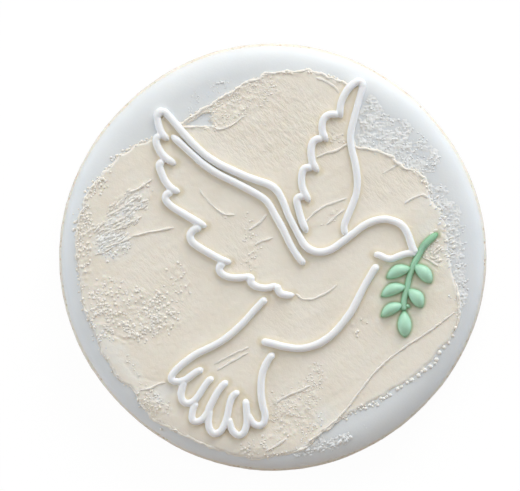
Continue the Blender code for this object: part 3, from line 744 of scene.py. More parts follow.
def crest_points(route, radius, height, seed, closed=False):
    """Low cord on the coat: at each step of a route that wanders a little, half an ellipse above the surface.

    Width and height are multiplied by 1 + noise, and by a quarter circle over the last millimetre.
    """
    flat = smooth_route(route + route[:2] if closed else route, CREST_STEP)
    left = left_of(flat)
    if closed:
        inward = depth_inside(flat + 0.05 * MM * left, route) > 0
        flat = flat + (np.where(inward, 1, -1) * (0.10 * MM - edge_wander(flat)))[:, None] * left
    else:
        flat = flat + (0.07 * MM * soft_noise(flat, 1.1 * MM, seed))[:, None] * left
    place = np.arange(len(flat)) * CREST_STEP
    fade = domed(np.minimum(place, place[-1] - place) / MM)
    fade = fade * (1 - 0.85 * patch_amount(flat, THIN_EDGES)) if closed else fade
    lane = np.stack([place, place * 0], axis=1)
    wide = radius * MM * fade * (1 + 0.40 * soft_noise(lane, 0.7 * MM, seed + 1))
    tall = height * MM * fade * (1 + 0.60 * soft_noise(lane, 0.55 * MM, seed + 2))
    turn = np.linspace(0, 2 * np.pi, CREST_AROUND, endpoint=False)
    up = np.where(np.sin(turn) > 0, np.sin(turn) * tall[:, None], -CREST_SINK * np.abs(np.sin(turn)))
    return carried(flat, left, np.cos(turn) * wide[:, None], coat_height(flat)[0][:, None] + up)


def tube_faces(rings, around, first):
    """Quads between the sections of a tube, and one flat face at each end."""
    ring, side = np.meshgrid(np.arange(rings - 1), np.arange(around), indexing="ij")
    here, after = ring * around + side, ring * around + (side + 1) % around
    quads = np.stack([here, after, after + around, here + around], axis=2).reshape(-1, 4) + first
    start = np.arange(around)[::-1] + first
    end = np.arange(around) + (rings - 1) * around + first
    return [*quads.tolist(), start.tolist(), end.tolist()]


def outward(mesh):
    """Turns every face of a closed mesh outwards."""
    shape = bmesh.new()
    shape.from_mesh(mesh)
    bmesh.ops.recalc_face_normals(shape, faces=shape.faces)
    shape.to_mesh(mesh)
    shape.free()


def joined_tubes(name, tubes):
    """One mesh of several tubes, each an array of sections."""
    points, faces, first = [], [], 0
    for tube in tubes:
        faces += tube_faces(tube.shape[0], tube.shape[1], first)
        points.append(tube.reshape(-1, 3))
        first += tube.shape[0] * tube.shape[1]
    mesh = make_mesh(name, np.concatenate(points), faces)
    outward(mesh)
    return mesh


crests = [crest_points(COAT_OUTLINE, *EDGE_CORD, 301, closed=True)]
for number, (route, height, _, _) in enumerate(COAT_RIDGES):
    if height > 0:
        crests.append(crest_points(route, RIDGE_CORD_WIDTH, RIDGE_CORD_SHARE * height, 310 + 5 * number))
crest_mesh = joined_tubes("coat_crests", crests)
# The cords are painted paler, partly as a painted highlight.
write_mark(crest_mesh, "pale", CREST_PALE_HIGHLIGHT)
set_piece("coat_crests", crest_mesh, CREAM_ICING, [])

# Beads of icing --------------------------------------------------------------------------------
# Drops that the knife skidded over and let go of. They crowd where it chattered and string along
# the edge of the coat; on the white they are the white's own.

BEAD_AROUND = 8
# Least paleness of the cream drops: partly white icing mixed in, partly a painted highlight on them.
BEAD_PALE_HIGHLIGHT = 0.2
CROWD_SUNK = 0.30
STRING_SUNK = 0.12
# Where the knife dragged the drops out to its own direction.
DRAGGED_PATCHES = [(-28.3, 7, 6.5, 4.2, 45, 1), (9.5, -35.4, 5, 1.5, 20, 0.3), (33, 3, 3.5, 9, 10, 0.7)]
BEAD_RINGS = (66, 42, 18, -12)
# Strings of drops: route, spacing, how far they stray, smallest and largest radius, in millimetres.
BEAD_STRINGS = [
    ([(34.7, -12), (34, -13.5), (33.3, -15.5), (32.2, -16.5), (31.2, -17.7), (30.3, -19.8), (28.5, -21),
      (27, -22.3), (25.5, -23.3), (24, -24.2), (22.5, -25)], 1.1, 0.07, 0.30, 0.42),
    ([(22.5, -25.2), (20, -26.6), (18, -27.5), (16.5, -28.3), (15, -29), (13.8, -29.7), (12.5, -30.5)],
     0.34, 0.34, 0.15, 0.32),
    ([(-22.3, 22.4), (-25.2, 21.4), (-27.2, 20.2), (-29.3, 18.9), (-30.6, 17.3)], 0.42, 0.28, 0.14, 0.28),
    ([(-30.5, 17.2), (-32.2, 15), (-33.1, 14.2), (-34.6, 12), (-35.3, 10), (-36.3, 7), (-36.7, 5),
      (-36.8, 3.5)], 0.36, 0.45, 0.16, 0.34),
    ([(-36.6, 4), (-36.6, 0), (-36.3, -4), (-35.8, -6.5), (-35.5, -8.5), (-34.8, -10.5), (-33.6, -13)],
     0.55, 0.35, 0.14, 0.27),
    ([(-33.2, -14.8), (-32.1, -18), (-30.5, -20.5), (-28.3, -23.3), (-26.2, -25), (-25.2, -27.2)],
     0.8, 0.3, 0.11, 0.2),
    ([(-25.3, -27), (-23.3, -29.2), (-21, -31), (-18, -32.8)], 0.45, 0.45, 0.13, 0.26),
    ([(-6, -37), (-3, -37.3), (0, -37), (3, -36.4), (5, -35.8)], 0.6, 0.3, 0.12, 0.22),
    ([(33.6, -0.5), (33.3, 2), (33.2, 4.5), (32.6, 6.5), (31.6, 8.2), (30.6, 9.9), (29.6, 11.6),
      (28.9, 13.2), (28.2, 15), (27, 16), (25, 16.8), (23.4, 17.6)], 0.45, 0.4, 0.14, 0.28),
    ([(-6.5, 25.9), (-9, 27), (-11, 28.2), (-13, 27.4)], 0.5, 0.5, 0.12, 0.22),
    ([(-9.7, 8), (-9.3, 7.8), (-8.6, 7.6)], 0.4, 0.15, 0.12, 0.2),
    ([(35, -8.5), (34.8, -10.5), (34.8, -12)], 0.7, 0.15, 0.14, 0.24),
    ([(-16.5, 25.5), (-13.5, 27.5), (-9, 30.1), (-5, 32.6), (-1, 34.2), (4, 34.7)], 0.45, 0.16, 0.16, 0.30),
    ([(6, 34.9), (8, 34.6), (10, 34), (12.5, 32.9)], 0.42, 0.13, 0.15, 0.26),
    ([(-12.2, 27), (-11.5, 25.9), (-11.2, 24.9)], 0.4, 0.3, 0.12, 0.22),
    ([(8.8, 5.6), (10.3, 7.2), (12.4, 8.9)], 0.5, 0.25, 0.09, 0.17),
    ([(-27.4, -17.8), (-26.5, -20), (-25.2, -22), (-24.2, -24.3)], 0.4, 0.3, 0.10, 0.18),
]


def scattered_spots(low, high, cell, seed, share_of):
    """One jittered place in each cell of a square lattice, kept where a draw is under the local share."""
    rng = np.random.default_rng(seed)
    lattice = np.meshgrid(np.arange(low[0], high[0], cell), np.arange(low[1], high[1], cell))
    corners = np.stack(lattice, axis=-1).reshape(-1, 2)
    spots = (corners + cell * rng.uniform(0, 0.9, corners.shape)) * MM
    return spots[rng.uniform(0, 1, len(spots)) < share_of(spots)]


def strung_spots(route, spacing, stray, seed):
    """Places along a route at uneven spacing, each moved sideways at random."""
    rng = np.random.default_rng(seed)
    flat = smooth_route(route, 0.05 * MM)
    at = np.cumsum(rng.uniform(0.55, 1.5, 2000) * spacing * MM / (0.05 * MM)).astype(int)
    spots = flat[at[at < len(flat)]]
    return spots + rng.normal(0, stray * MM, spots.shape)


def drawn_drops(crowd, sizes, strings, seed, swell):
    """Places, radii and sunk shares of a crowd of drops, and then of each string of them."""
    rng = np.random.default_rng(seed)
    spots, radii = [crowd], [rng.uniform(*sizes, len(crowd)) * MM]
    for number, (route, spacing, stray, *string_sizes) in enumerate(strings):
        spots.append(strung_spots(route, spacing, stray, seed + 19 + number))
        radii.append(swell * rng.uniform(*string_sizes, len(spots[-1])) * MM)
    spots = np.concatenate(spots)
    return spots, np.concatenate(radii), np.where(np.arange(len(spots)) < len(crowd), CROWD_SUNK, STRING_SUNK)


def bead_mesh(name, spots, radii, sunk, ground, seed):
    """Many small drops in one mesh, each a ball squashed, turned a little and sunk into the icing.

    A drop's points are its centre + radius * (a cos u cos v, b cos u sin v, c sin u) for a few u and v,
    with a, b and c drawn near 1. The pair a, b is turned by a drawn angle, but where the knife dragged
    the drops out, a is up to twice as long and lies along the drag.
    """
    rng = np.random.default_rng(seed)
    lift = np.radians(BEAD_RINGS)[:, None]
    turn = np.linspace(0, 2 * np.pi, BEAD_AROUND, endpoint=False)[None, :]
    ball = [np.cos(lift) * np.cos(turn), np.cos(lift) * np.sin(turn), np.sin(lift) + 0 * turn]
    ball = np.concatenate([np.stack(ball, axis=2).reshape(-1, 3), [[0, 0, 1], [0, 0, -0.8]]])
    stretch = rng.uniform((0.92, 0.84, 0.65), (1.2, 1.0, 0.9), (len(spots), 3))
    angle = rng.uniform(0, np.pi, len(spots))
    dragged = patch_amount(spots, DRAGGED_PATCHES)
    stretch[:, 0] *= 1 + 0.9 * dragged
    angle = np.where(dragged > 0.25, math.radians(40) + 0.25 * np.sin(2 * angle), angle)
    shaped = ball[None] * (stretch * radii[:, None])[:, None]
    c, s = np.cos(angle)[:, None], np.sin(angle)[:, None]
    x, y = shaped[..., 0] * c - shaped[..., 1] * s, shaped[..., 0] * s + shaped[..., 1] * c
    middle = ground - sunk * radii
    points = np.stack([spots[:, :1] + x, spots[:, 1:] + y, middle[:, None] + shaped[..., 2]], axis=2)
    one = turned_faces(len(BEAD_RINGS), BEAD_AROUND)
    faces = []
    for sides in (3, 4):
        corner = np.array([face for face in one if len(face) == sides])
        every = corner[None] + (np.arange(len(spots)) * len(ball))[:, None, None]
        faces += every.reshape(-1, sides).tolist()
    return make_mesh(name, points, faces)


def cream_share(place):
    """How crowded the cream drops are: the bead patches, broken up by noise."""
    cluster = patch_amount(place, BEAD_PATCHES) * (0.72 + 0.75 * soft_noise(place, 1.7 * MM, 51))
    return cluster * (coat_level(place)[1] > 0)


crowd = scattered_spots((-37, -37), (36, 36), 0.50, 403, cream_share)
spots, radii, sunk = drawn_drops(crowd, (0.19, 0.36), BEAD_STRINGS, 401, 1.15)
radii *= 1 - 0.35 * patch_amount(spots, FINE_PATCHES)
radii *= 1 + 0.15 * patch_amount(spots, COARSE_PATCHES)
coat_top, _, marks = coat_height(spots)
cream_beads = bead_mesh("cream_beads", spots, radii, sunk, np.maximum(coat_top, white_level(spots)), 440)
# The drops are painted at least this pale, partly as a painted highlight.
paleness = np.maximum(marks["pale"], BEAD_PALE_HIGHLIGHT).repeat(len(cream_beads.vertices) // len(spots))
write_mark(cream_beads, "pale", paleness)
set_piece("cream_beads", cream_beads, CREAM_ICING, [])

# Rough white icing -----------------------------------------------------------------------------
# Where the knife lifted the half-set white without covering it, the skin tore into a crumpled
# crust beside the cream coat. It is the same white icing, standing a little proud.

ROUGH_STEP = 0.12 * MM
# Heights of its folds and lumps and how proud it stands, in millimetres, and how deep its edge runs.
ROUGH_FOLD, ROUGH_LUMP, ROUGH_STAND, ROUGH_SINK = 0.09, 0.13, 0.10, 0.05 * MM
ROUGH_LOW, ROUGH_HIGH, ROUGH_BOTTOM = (1 * MM, -38.4 * MM), (38 * MM, 32 * MM), 7.4 * MM
ROUGH_PATCHES = [
    [(15.6, 20.4), (15.6, 24), (16.6, 28.6), (18.3, 30.3), (19.9, 28.2), (21.6, 27.2), (23.8, 26.2),
     (26, 24.9), (28, 22.4), (29.8, 21), (31.2, 19.4), (31.6, 18), (30.7, 16.2), (29.4, 14.8),
     (27.5, 14.8), (24, 16.2), (20, 18.8)],
    [(29, 12.6), (31, 13.4), (33.2, 12.4), (33.9, 10.2), (35, 8), (35.5, 5), (36.3, 1.5), (36.6, -2),
     (36.5, -5.5), (35.9, -9), (34.2, -9.5), (33.6, -5), (32.4, -1), (32.2, 3.5), (31, 7.5)],
    [(3, -36.4), (6, -37), (9, -36.2), (11.5, -35.4), (14.6, -34), (14.2, -33.2), (11, -33.6),
     (8.5, -33.4), (6, -35)],
]

# Left smooth inside them.
SMOOTH_GAPS = [
    (23.2, 22.8, 3.6, 1.3, -22, 0.85), (19.2, 24.6, 1.2, 1.6, 0, 0.5), (29.5, 15, 1.5, 0.8, 0, 0.8),
]
# Rough, but less than elsewhere.
CALM_PATCHES = [(34.5, 1, 3, 11, 8, 1)]


def rough_depth(place):
    """Distance in from the edge of the rough patches, less where a smooth gap lies in them."""
    depth = np.max([depth_inside(place, patch) for patch in ROUGH_PATCHES], axis=0)
    return depth - 2.2 * MM * patch_amount(place, SMOOTH_GAPS)


def rough_height(place):
    """Crumpled crust: folded noise and lumps, strongest inside the patches and gone at their edges."""
    depth = rough_depth(place)
    ragged = depth + 0.6 * MM * layered_noise(place, 2.2 * MM, 81, 3)
    fold = 1 - 2.2 * np.abs(layered_noise(place, 0.75 * MM, 83, 2))
    lumps = beads(place, 0.62 * MM, 87, 0.8)
    broken = (0.65 + 0.5 * soft_noise(place, 1.9 * MM, 89)) * (1 - 0.2 * patch_amount(place, CALM_PATCHES))
    inside = smooth_step(ragged, -0.6 * MM, 0.9 * MM) * broken
    crust = inside * (ROUGH_FOLD * fold + ROUGH_LUMP * lumps + ROUGH_STAND) * MM - ROUGH_SINK
    return white_level(place) + crust, depth > -1.2 * MM, {}


ROUGH_TONES = (0.91, 0.915, 0.90), (0.89, 0.90, 0.885)
ROUGH_ICING = icing_finish("rough_white_icing", *ROUGH_TONES, 0.3 * MM, 0.05 * MM, 0.6, 0.2)
rough_mesh = spread_mesh("rough_icing", ROUGH_LOW, ROUGH_HIGH, ROUGH_STEP, rough_height, ROUGH_BOTTOM)
set_piece("rough_icing", rough_mesh, ROUGH_ICING, [])

# White drops: patches as above, and a few loose strings.
WHITE_BEAD_PATCHES = [
    (-30.3, 2, 2.6, 1.8, 30, 0.55), (-27, 8, 6, 1.2, 45, 0.25), (-33.5, -12, 1.6, 2.4, 0, 0.35),
    (-31, -15.5, 2, 1.6, 0, 0.3), (8.5, -31, 2.2, 1.5, 40, 0.2), (33.8, -6, 1, 3.5, 0, 0.15),
]
WHITE_BEAD_STRINGS = [
    ([(-10.8, 32.5), (-9, 32.6)], 0.45, 0.12, 0.2, 0.3),
    ([(-14.2, 31.5), (-15.2, 29.2)], 0.7, 0.2, 0.1, 0.18),
    ([(3.5, -36.9), (7, -36.4), (9, -35.9), (11, -35.4), (14.8, -33.6)], 0.26, 0.38, 0.16, 0.36),
    ([(-15.8, 28.2), (-13.5, 30.2), (-11, 31.7), (-8.5, 32.9)], 0.22, 0.75, 0.08, 0.17),
    ([(-15.5, 25.3), (-12.9, 26.3)], 0.35, 0.3, 0.08, 0.14),
    ([(8.5, -35), (11.5, -33.9), (14.5, -33)], 0.45, 0.3, 0.12, 0.26),
    ([(5, -34.6), (7.2, -34.2), (9, -33.8)], 0.45, 0.3, 0.12, 0.22),
    ([(16.3, -30.9), (17.6, -31.9)], 0.6, 0.1, 0.1, 0.16),
]


def white_share(place):
    """How crowded the white drops are: on the rough patches and where the white was picked up."""
    depth = rough_depth(place)
    rough = smooth_step(depth + 0.8 * MM * soft_noise(place, 2.0 * MM, 91), -0.5 * MM, 0.9 * MM)
    picked = patch_amount(place, WHITE_BEAD_PATCHES)
    rough = rough * (1 - 0.25 * patch_amount(place, CALM_PATCHES))
    return np.maximum(0.42 * rough, picked) * (0.75 + 0.6 * soft_noise(place, 1.5 * MM, 93))


crowd = scattered_spots((-37, -37.5), (37, 33), 0.52, 453, white_share)
spots, radii, sunk = drawn_drops(crowd, (0.14, 0.27), WHITE_BEAD_STRINGS, 451, 1.0)
ground = np.max([rough_height(spots)[0], coat_height(spots)[0], white_level(spots)], axis=0)
white_beads = bead_mesh("white_beads", spots, radii, sunk, ground, 480)
set_piece("white_beads", white_beads, ROUGH_ICING, [])

# Piped dove ------------------------------------------------------------------------------------
# Stiff white icing squeezed from a round tip held just above the coat. Each feather is one short
# pull that starts on the last one and ends in a small tail; wet lines that touch run together.

LINE_WIDTH = 1.42 * MM
LINE_HEIGHT = 1.12 * MM
LINE_SINK = 0.10 * MM
LINE_STEP = 0.16 * MM
LINE_OVERRUN = 0.28
LINE_SWELL = 0.05
LINE_AROUND = 26
# How far a line takes to climb on to the coat.
BRIDGE = 1.3 * MM
BACK_LINE = [
    (-21.55, 26.1), (-21.35, 26.9), (-20.3, 27.15), (-19.2, 26.1), (-17.8, 24.5), (-16.2, 22.6),
    (-14.6, 20.9), (-12.6, 19.1), (-10, 17.4), (-7.5, 16.2), (-5, 15.1), (-2.8, 14.3), (-1, 13.7),
    (0.2, 13), (1.1, 12), (2.1, 10), (2.85, 8), (3.85, 6), (4.9, 4), (6, 2.2), (7.5, 1.2), (9.1, 0.95),
    (11, 1.5), (13, 2.9), (15, 4.4), (17, 5.9), (19, 6.8), (21, 7.1), (22.8, 6.7), (24.2, 5.9),
    (25.1, 4.6), (25.7, 3), (26.2, 1.6), (26.7, 0.8),
]
BEAK_LINE = [
    (26.7, 0.75), (25.6, 0.75), (24.4, 0.5), (23.3, 0.1), (22.3, -0.3), (21.3, -0.25), (20.4, 0.15),
    (19.7, 0.45), (19.1, 0.42),
]
FAR_WING_FEATHERS = [
    [(-20.3, 27.2), (-21.1, 27.25), (-21.65, 26.5), (-21.5, 25.4), (-21.2, 24.2), (-20.7, 23.1),
     (-20.2, 22.5), (-19.6, 22)],
    [(-21, 22.7), (-21.7, 22.3), (-21.8, 21.5), (-21.4, 20.4), (-20.7, 19.3), (-19.8, 18.4),
     (-18.8, 17.75), (-18.3, 17.5)],
    [(-20.6, 17.9), (-21.1, 17.5), (-21.2, 16.9), (-20.9, 16), (-20.5, 15), (-19.95, 14), (-19.2, 13.1),
     (-18.3, 12.5), (-17.6, 12.3)],
    [(-19, 12.2), (-19.8, 11.8), (-20.1, 11.1), (-19.8, 10.4), (-18.9, 9.5), (-17.5, 8.6), (-16, 7.7),
     (-14.5, 6.8), (-13.3, 6.1), (-12.6, 5.8)],
    [(-13.6, 5.6), (-14.8, 5.1), (-15.4, 4.3), (-15.4, 3.5), (-14.9, 2.7), (-13.7, 1.8), (-12, 0.8),
     (-10, -0.3), (-9, -0.7), (-8, -0.9)],
    [(-9.3, -1.1), (-9.9, -1.7), (-10, -2.4), (-9.5, -3.1), (-8.6, -3.6), (-7.4, -3.85), (-6, -3.85),
     (-4.9, -3.7), (-4.1, -3.4)],
    [(-4, -3.5), (-4.15, -4.4), (-3.8, -5), (-3, -5.5), (-1.8, -5.75), (-0.7, -5.7), (0.2, -5.4),
     (0.8, -5.3)],
    [(0.8, -5.3), (1, -6.1), (1.5, -6.8), (2.4, -7.05), (3.2, -7.1), (3.8, -7.05)],
]
NEAR_WING_EDGE = [
    (15.9, 32.8), (16.7, 32.5), (16.75, 31.9), (16.4, 30.5), (15.8, 28.3), (15.2, 26), (14.7, 24),
    (14.5, 22), (14.8, 20), (15.3, 18), (15.65, 16), (15.8, 14), (15.6, 12), (14.95, 10), (14.1, 8),
    (13.4, 6.2), (13.35, 5.2), (13.6, 4.3),
]
NEAR_WING_FEATHERS = [
    [(16.75, 31.8), (16.7, 32.5), (16.1, 32.85), (15.3, 32.6), (14.6, 32), (13.9, 31.2), (13.2, 30),
     (12.8, 29), (12.6, 28), (12.6, 27), (12.75, 26.2)],
    [(12.2, 26.6), (11.2, 26.75), (10.2, 26.5), (9.5, 25.8), (9.2, 24.6), (9.3, 23.4), (9.7, 22.4),
     (10.1, 21.8)],
    [(9.2, 22.1), (8.3, 22.1), (7.5, 21.5), (7.2, 20.4), (7.2, 19), (7.4, 17.8), (7.9, 16.8), (8.4, 16.1)],
    [(7.3, 16.7), (6.4, 16.75), (5.7, 16.3), (5.4, 15.2), (5.4, 13.8), (5.7, 12.6), (6.2, 11.5),
     (6.8, 10.5)],
    [(5.8, 11.3), (5, 11.3), (4.5, 10.8), (4.6, 9.8), (4.9, 8.6), (5.3, 7.2), (5.8, 5.9), (6.3, 4.8)],
]
TAIL_LINES = [
    [(-1.4, -7.85), (-2.2, -8.6), (-3.6, -10.1), (-5, -11.7), (-6.5, -13.2), (-8.2, -14.7),
     (-10, -15.95), (-12, -17), (-14, -17.95), (-16, -19.3), (-17.5, -20.5), (-18.7, -21.8),
     (-19, -22.7), (-18.4, -23.2), (-17.4, -23.25), (-16.3, -22.9), (-15.2, -22.1), (-14.2, -21.4),
     (-13.2, -21)],
    [(-16.6, -23.2), (-16.9, -24.3), (-17.15, -25.6), (-16.9, -26.7), (-16.1, -27.3), (-15.1, -27.1),
     (-14.3, -26.4), (-13.6, -25.4), (-12.9, -24.3), (-12.1, -23.2), (-11.3, -22.6)],
    [(-14.4, -27.2), (-14.9, -28.4), (-15.1, -29.5), (-15, -30.4), (-14.2, -30.75), (-13.2, -30.3),
     (-12.3, -29.2), (-11.8, -28), (-11.3, -27), (-10.8, -26), (-10.2, -25), (-9.4, -24), (-8.6, -23.3)],
    [(-11.8, -28.6), (-12, -30), (-12, -31.3), (-11.6, -32.4), (-10.8, -33), (-9.8, -32.5),
     (-9.1, -31.4), (-8.6, -30), (-8.3, -28.6), (-8, -27.2), (-7.5, -26), (-6.5, -25.2)],
    [(-8.2, -30.2), (-8, -31.3), (-7.4, -32.6), (-6.3, -33.3), (-5.4, -32.7), (-4.95, -31.5),
     (-4.8, -30.2), (-4.9, -28.8), (-5, -27.6), (-5.1, -26.7)],
    [(-4.75, -29.4), (-4.2, -30.3), (-3.6, -31.1), (-2.7, -31.5), (-1.8, -31.1), (-1.45, -30),
     (-1.5, -29), (-1.8, -28), (-2.15, -26), (-2.2, -24), (-2.1, -22.5), (-1.8, -21.2), (-1.3, -20),
     (-0.7, -19), (0.05, -18.1)],
]
WING_FOLD_LINE = [
    (-18.8, 22.65), (-17.3, 21.3), (-15, 19.2), (-12.6, 17.1), (-10, 15.45), (-7.5, 14.2), (-5, 12.9),
    (-3, 11.8), (-1.5, 10.8), (-0.5, 9.6), (0.4, 7.9), (1.5, 6), (2.5, 4), (3.5, 2), (4.7, 0.1),
    (5.8, -1.2),
]
BREAST_LINE = [
    (19.5, -1.6), (18.9, -2.4), (17.8, -4.2), (16.8, -6), (15.8, -8), (14.75, -10), (13.3, -12),
    (11.6, -14), (10, -15.3), (8, -16.4), (5.2, -17.05), (2.2, -16.75), (0, -16.2), (-1.9, -15.75),
]


def line_points(route, width, height, sink, seed, start_taper, end_taper):
    """A squashed round section carried along a route on the icing, swelling a little and rounded at its ends.

    At each step the section is an ellipse with its lowest part flattened on the coat. Its size follows
    a quarter circle over the taper length at each end, so the ends are domes. The coat's thickness under
    it is averaged over BRIDGE on both sides, so that it climbs on to the coat smoothly.
    """
    knots = np.array(route, float)
    for tip, before in ((0, 1), (-1, -2)):
        pull = knots[tip] - knots[before]
        knots[tip] += LINE_OVERRUN * pull / np.hypot(*pull)
    flat = smooth_route(knots, LINE_STEP)
    along = np.concatenate([[0], np.cumsum(np.hypot(*np.diff(flat, axis=0).T))])
    size = domed(along / start_taper) * domed((along[-1] - along) / end_taper)
    size = size * (1 + LINE_SWELL * soft_noise(np.stack([along, along * 0], axis=1), 4.5 * MM, seed))
    level = np.maximum(coat_level(flat)[1], 0)
    reach = round(BRIDGE / LINE_STEP)
    window = np.full(2 * reach + 1, 1 / (2 * reach + 1))
    base = white_level(flat) + np.convolve(np.pad(level, reach, mode="edge"), window, mode="valid") - sink
    turn = np.linspace(0, 2 * np.pi, LINE_AROUND, endpoint=False)
    up = np.maximum(0.42 + 0.58 * np.sin(turn), 0) * (height * size)[:, None]
    return carried(flat, left_of(flat), np.cos(turn) * (width / 2 * size)[:, None], base[:, None] + up)


def piped_mesh(name, lines):
    """Several piped lines in one mesh. Each line is a route, its width share, and its end tapers in mm."""
    tubes = []
    for number, (route, share, start_taper, end_taper) in enumerate(lines):
        size, tapers = (LINE_WIDTH * share, LINE_HEIGHT * share), (start_taper * MM, end_taper * MM)
        tubes.append(line_points(route, *size, LINE_SINK, 100 + number, *tapers))
    return joined_tubes(name, tubes)


def run_together(piece, grain, rounds):
    """Fuses lines that touch into one skin and softens the crease between them, as wet icing does."""
    fuse = piece.modifiers.new("fuse", "REMESH")
    fuse.mode = "VOXEL"
    fuse.voxel_size = grain
    fuse.use_smooth_shade = True
    soften = piece.modifiers.new("soften", "SMOOTH")
    soften.factor = 0.5
    soften.iterations = rounds


PIPED_TONES = (0.94, 0.945, 0.95), (0.915, 0.925, 0.935)
PIPED_ICING = icing_finish("piped_icing", *PIPED_TONES, 0.6 * MM, 0.015 * MM, 0.42, 0.3)
# Lengths in millimetres over which a full end and a feather's small tail are rounded.
FULL, COMMA = 0.7, 1.6
FUSE_GRAIN, FUSE_ROUNDS = 0.11 * MM, 5
outline_lines = [(BACK_LINE, 1.0, FULL, FULL), (BEAK_LINE, 0.92, FULL, 0.9)]
outline_lines += [(feather, 1.0, FULL, COMMA) for feather in FAR_WING_FEATHERS]
near_lines = [(NEAR_WING_EDGE, 0.93, FULL, FULL)]
near_lines += [(feather, 1.0, FULL, COMMA) for feather in NEAR_WING_FEATHERS]
tail_lines = [(line, 0.96, FULL, 0.9) for line in TAIL_LINES]
for node, lines in {
    "dove_outline": outline_lines,
    "dove_near_wing": near_lines,
    "dove_tail": tail_lines,
    "dove_wing_fold": [(WING_FOLD_LINE, 0.98, 1.7, 0.8)],
    "dove_breast": [(BREAST_LINE, 1.0, 0.8, 0.8)],
}.items():
    piece = set_piece(f"piped_{node}", piped_mesh(node, lines), PIPED_ICING, [node])
    run_together(piece, FUSE_GRAIN, FUSE_ROUNDS)

# Painted shade: the cream beside the piped lines is painted darker and warmer, standing in for the warm
# shadow at their foot.
LINE_SHADE_REACH = 0.75 * MM
LINE_SHADE_AMOUNT = 0.42


def brought_near(near, place, line, margin, width=0.0):
    """Lowers each place's distance to the nearest line so far, where this line's edge is nearer."""
    close = np.flatnonzero(boxed(place, line, margin))
    near[close] = np.minimum(near[close], nearest_on_route(place[close], line)[0] - width / 2)


routes = [BACK_LINE, BEAK_LINE, NEAR_WING_EDGE, WING_FOLD_LINE, BREAST_LINE]
routes += [*FAR_WING_FEATHERS, *NEAR_WING_FEATHERS, *TAIL_LINES]
place = np.empty(len(coat_mesh.vertices) * 3, np.float32)
coat_mesh.vertices.foreach_get("co", place)
place = place.reshape(-1, 3)[:, :2].astype(float)
near = np.full(len(place), np.inf)
for route in routes:
    brought_near(near, place, smooth_route(route, 0.8 * MM), 2 * MM, LINE_WIDTH)
write_mark(coat_mesh, "line_shade", LINE_SHADE_AMOUNT * smooth_step(-near, -LINE_SHADE_REACH, 0))

# Olive sprig -----------------------------------------------------------------------------------
# Green icing: a thin stem drawn first, then six leaves, each one squeeze that swells and is pulled
# away to a soft point, and a small bud beside the last leaf.

STEM_LINE = [
    (30.6, 4.3), (29.8, 3.7), (28.8, 2.8), (28, 1.8), (27.5, 0.8), (27, -0.1), (26.4, -1.2), (26, -2.4),
    (25.5, -3.8), (25.2, -5.2), (24.9, -6.4), (24.6, -7.7), (24.45, -9), (24.5, -9.8),
]
# Leaves: stem end, free end, widest width, sideways bow of the middle, share along of the widest part.
SPRIG_LEAVES = {
    "sprig_leaf_1": ((25.9, -2.0), (21.2, -3.9), 2.35, -0.43, 0.5),
    "sprig_leaf_2": ((26.2, -1.3), (29.7, -4.8), 2.55, 0.33, 0.55),
    "sprig_leaf_3": ((25.0, -5.5), (20.2, -7.3), 2.3, -0.48, 0.5),
    "sprig_leaf_4": ((25.1, -5.8), (28.0, -9.4), 2.6, 0.35, 0.55),
    "sprig_leaf_5": ((24.4, -8.8), (20.2, -11.1), 2.2, -0.38, 0.5),
    "sprig_leaf_6": ((24.5, -9.8), (24.75, -15.0), 2.65, 0.0, 0.55),
    "sprig_bud": ((24.7, -8.9), (25.7, -9.35), 0.8, 0.0, 0.5),
}
LEAF_HEIGHT = 1.7 * MM
STEM_WIDTH, STEM_HEIGHT = 1.08 * MM, 0.9 * MM
TIP_WIDTH, TIP_HEIGHT = 1.3 * MM, 0.85 * MM
FOOT_SHADE_REACH = 1.0 * MM


def leaf_points(start, end, width, bow, widest, steps=40, around=28):
    """Almond-shaped cushion: the width follows a sine skewed to its widest part, over a bowed midline."""
    start, end = np.array(start) * MM, np.array(end) * MM
    along, length = end - start, np.hypot(*(end - start))
    across = np.array([-along[1], along[0]]) / length
    turn = np.linspace(0.02, np.pi - 0.02, steps)
    t = (1 - np.cos(turn)) / 2
    skew = t ** (math.log(0.5) / math.log(widest))
    full = np.clip(np.sin(np.pi * skew), 0, 1) ** 0.62
    middle = start + t[:, None] * along + (np.sin(np.pi * t) * bow * MM)[:, None] * across
    base = white_level(middle) + np.maximum(coat_level(middle)[1], 0) - LINE_SINK
    high = LEAF_HEIGHT * min(1, width / 1.5)
    circle = np.linspace(0, 2 * np.pi, around, endpoint=False)
    up = np.maximum(0.24 + 0.76 * np.sin(circle), 0) * (high * full**0.8)[:, None]
    out = np.cos(circle) * (width * MM / 2 * full)[:, None]
    return carried(middle, across[None], out, base[:, None] + up)





def mark_foot_shade(mesh):
    """Writes how near each point is to the coat, as the share of painted shade at the foot: 1 on its level, 0
    a foot reach above it.
    """
    place = np.empty(len(mesh.vertices) * 3, np.float32)
    mesh.vertices.foreach_get("co", place)
    write_mark(mesh, "foot", np.clip(1 - (place[2::3] - (FLOOD_TOP + COAT_BODY)) / FOOT_SHADE_REACH, 0, 1))


GREEN_TONES = (0.50, 0.80, 0.61), (0.45, 0.76, 0.55)
GREEN_ICING = icing_finish("green_icing", *GREEN_TONES, 0.6 * MM, 0.02 * MM, 0.38, 0.2)
# Painted shade: the colour is darker at the foot of each piece, standing in for the shade low on its sides.
tint(GREEN_ICING, lambda tree: painted(tree, "foot"), (0.13, 0.38, 0.15))

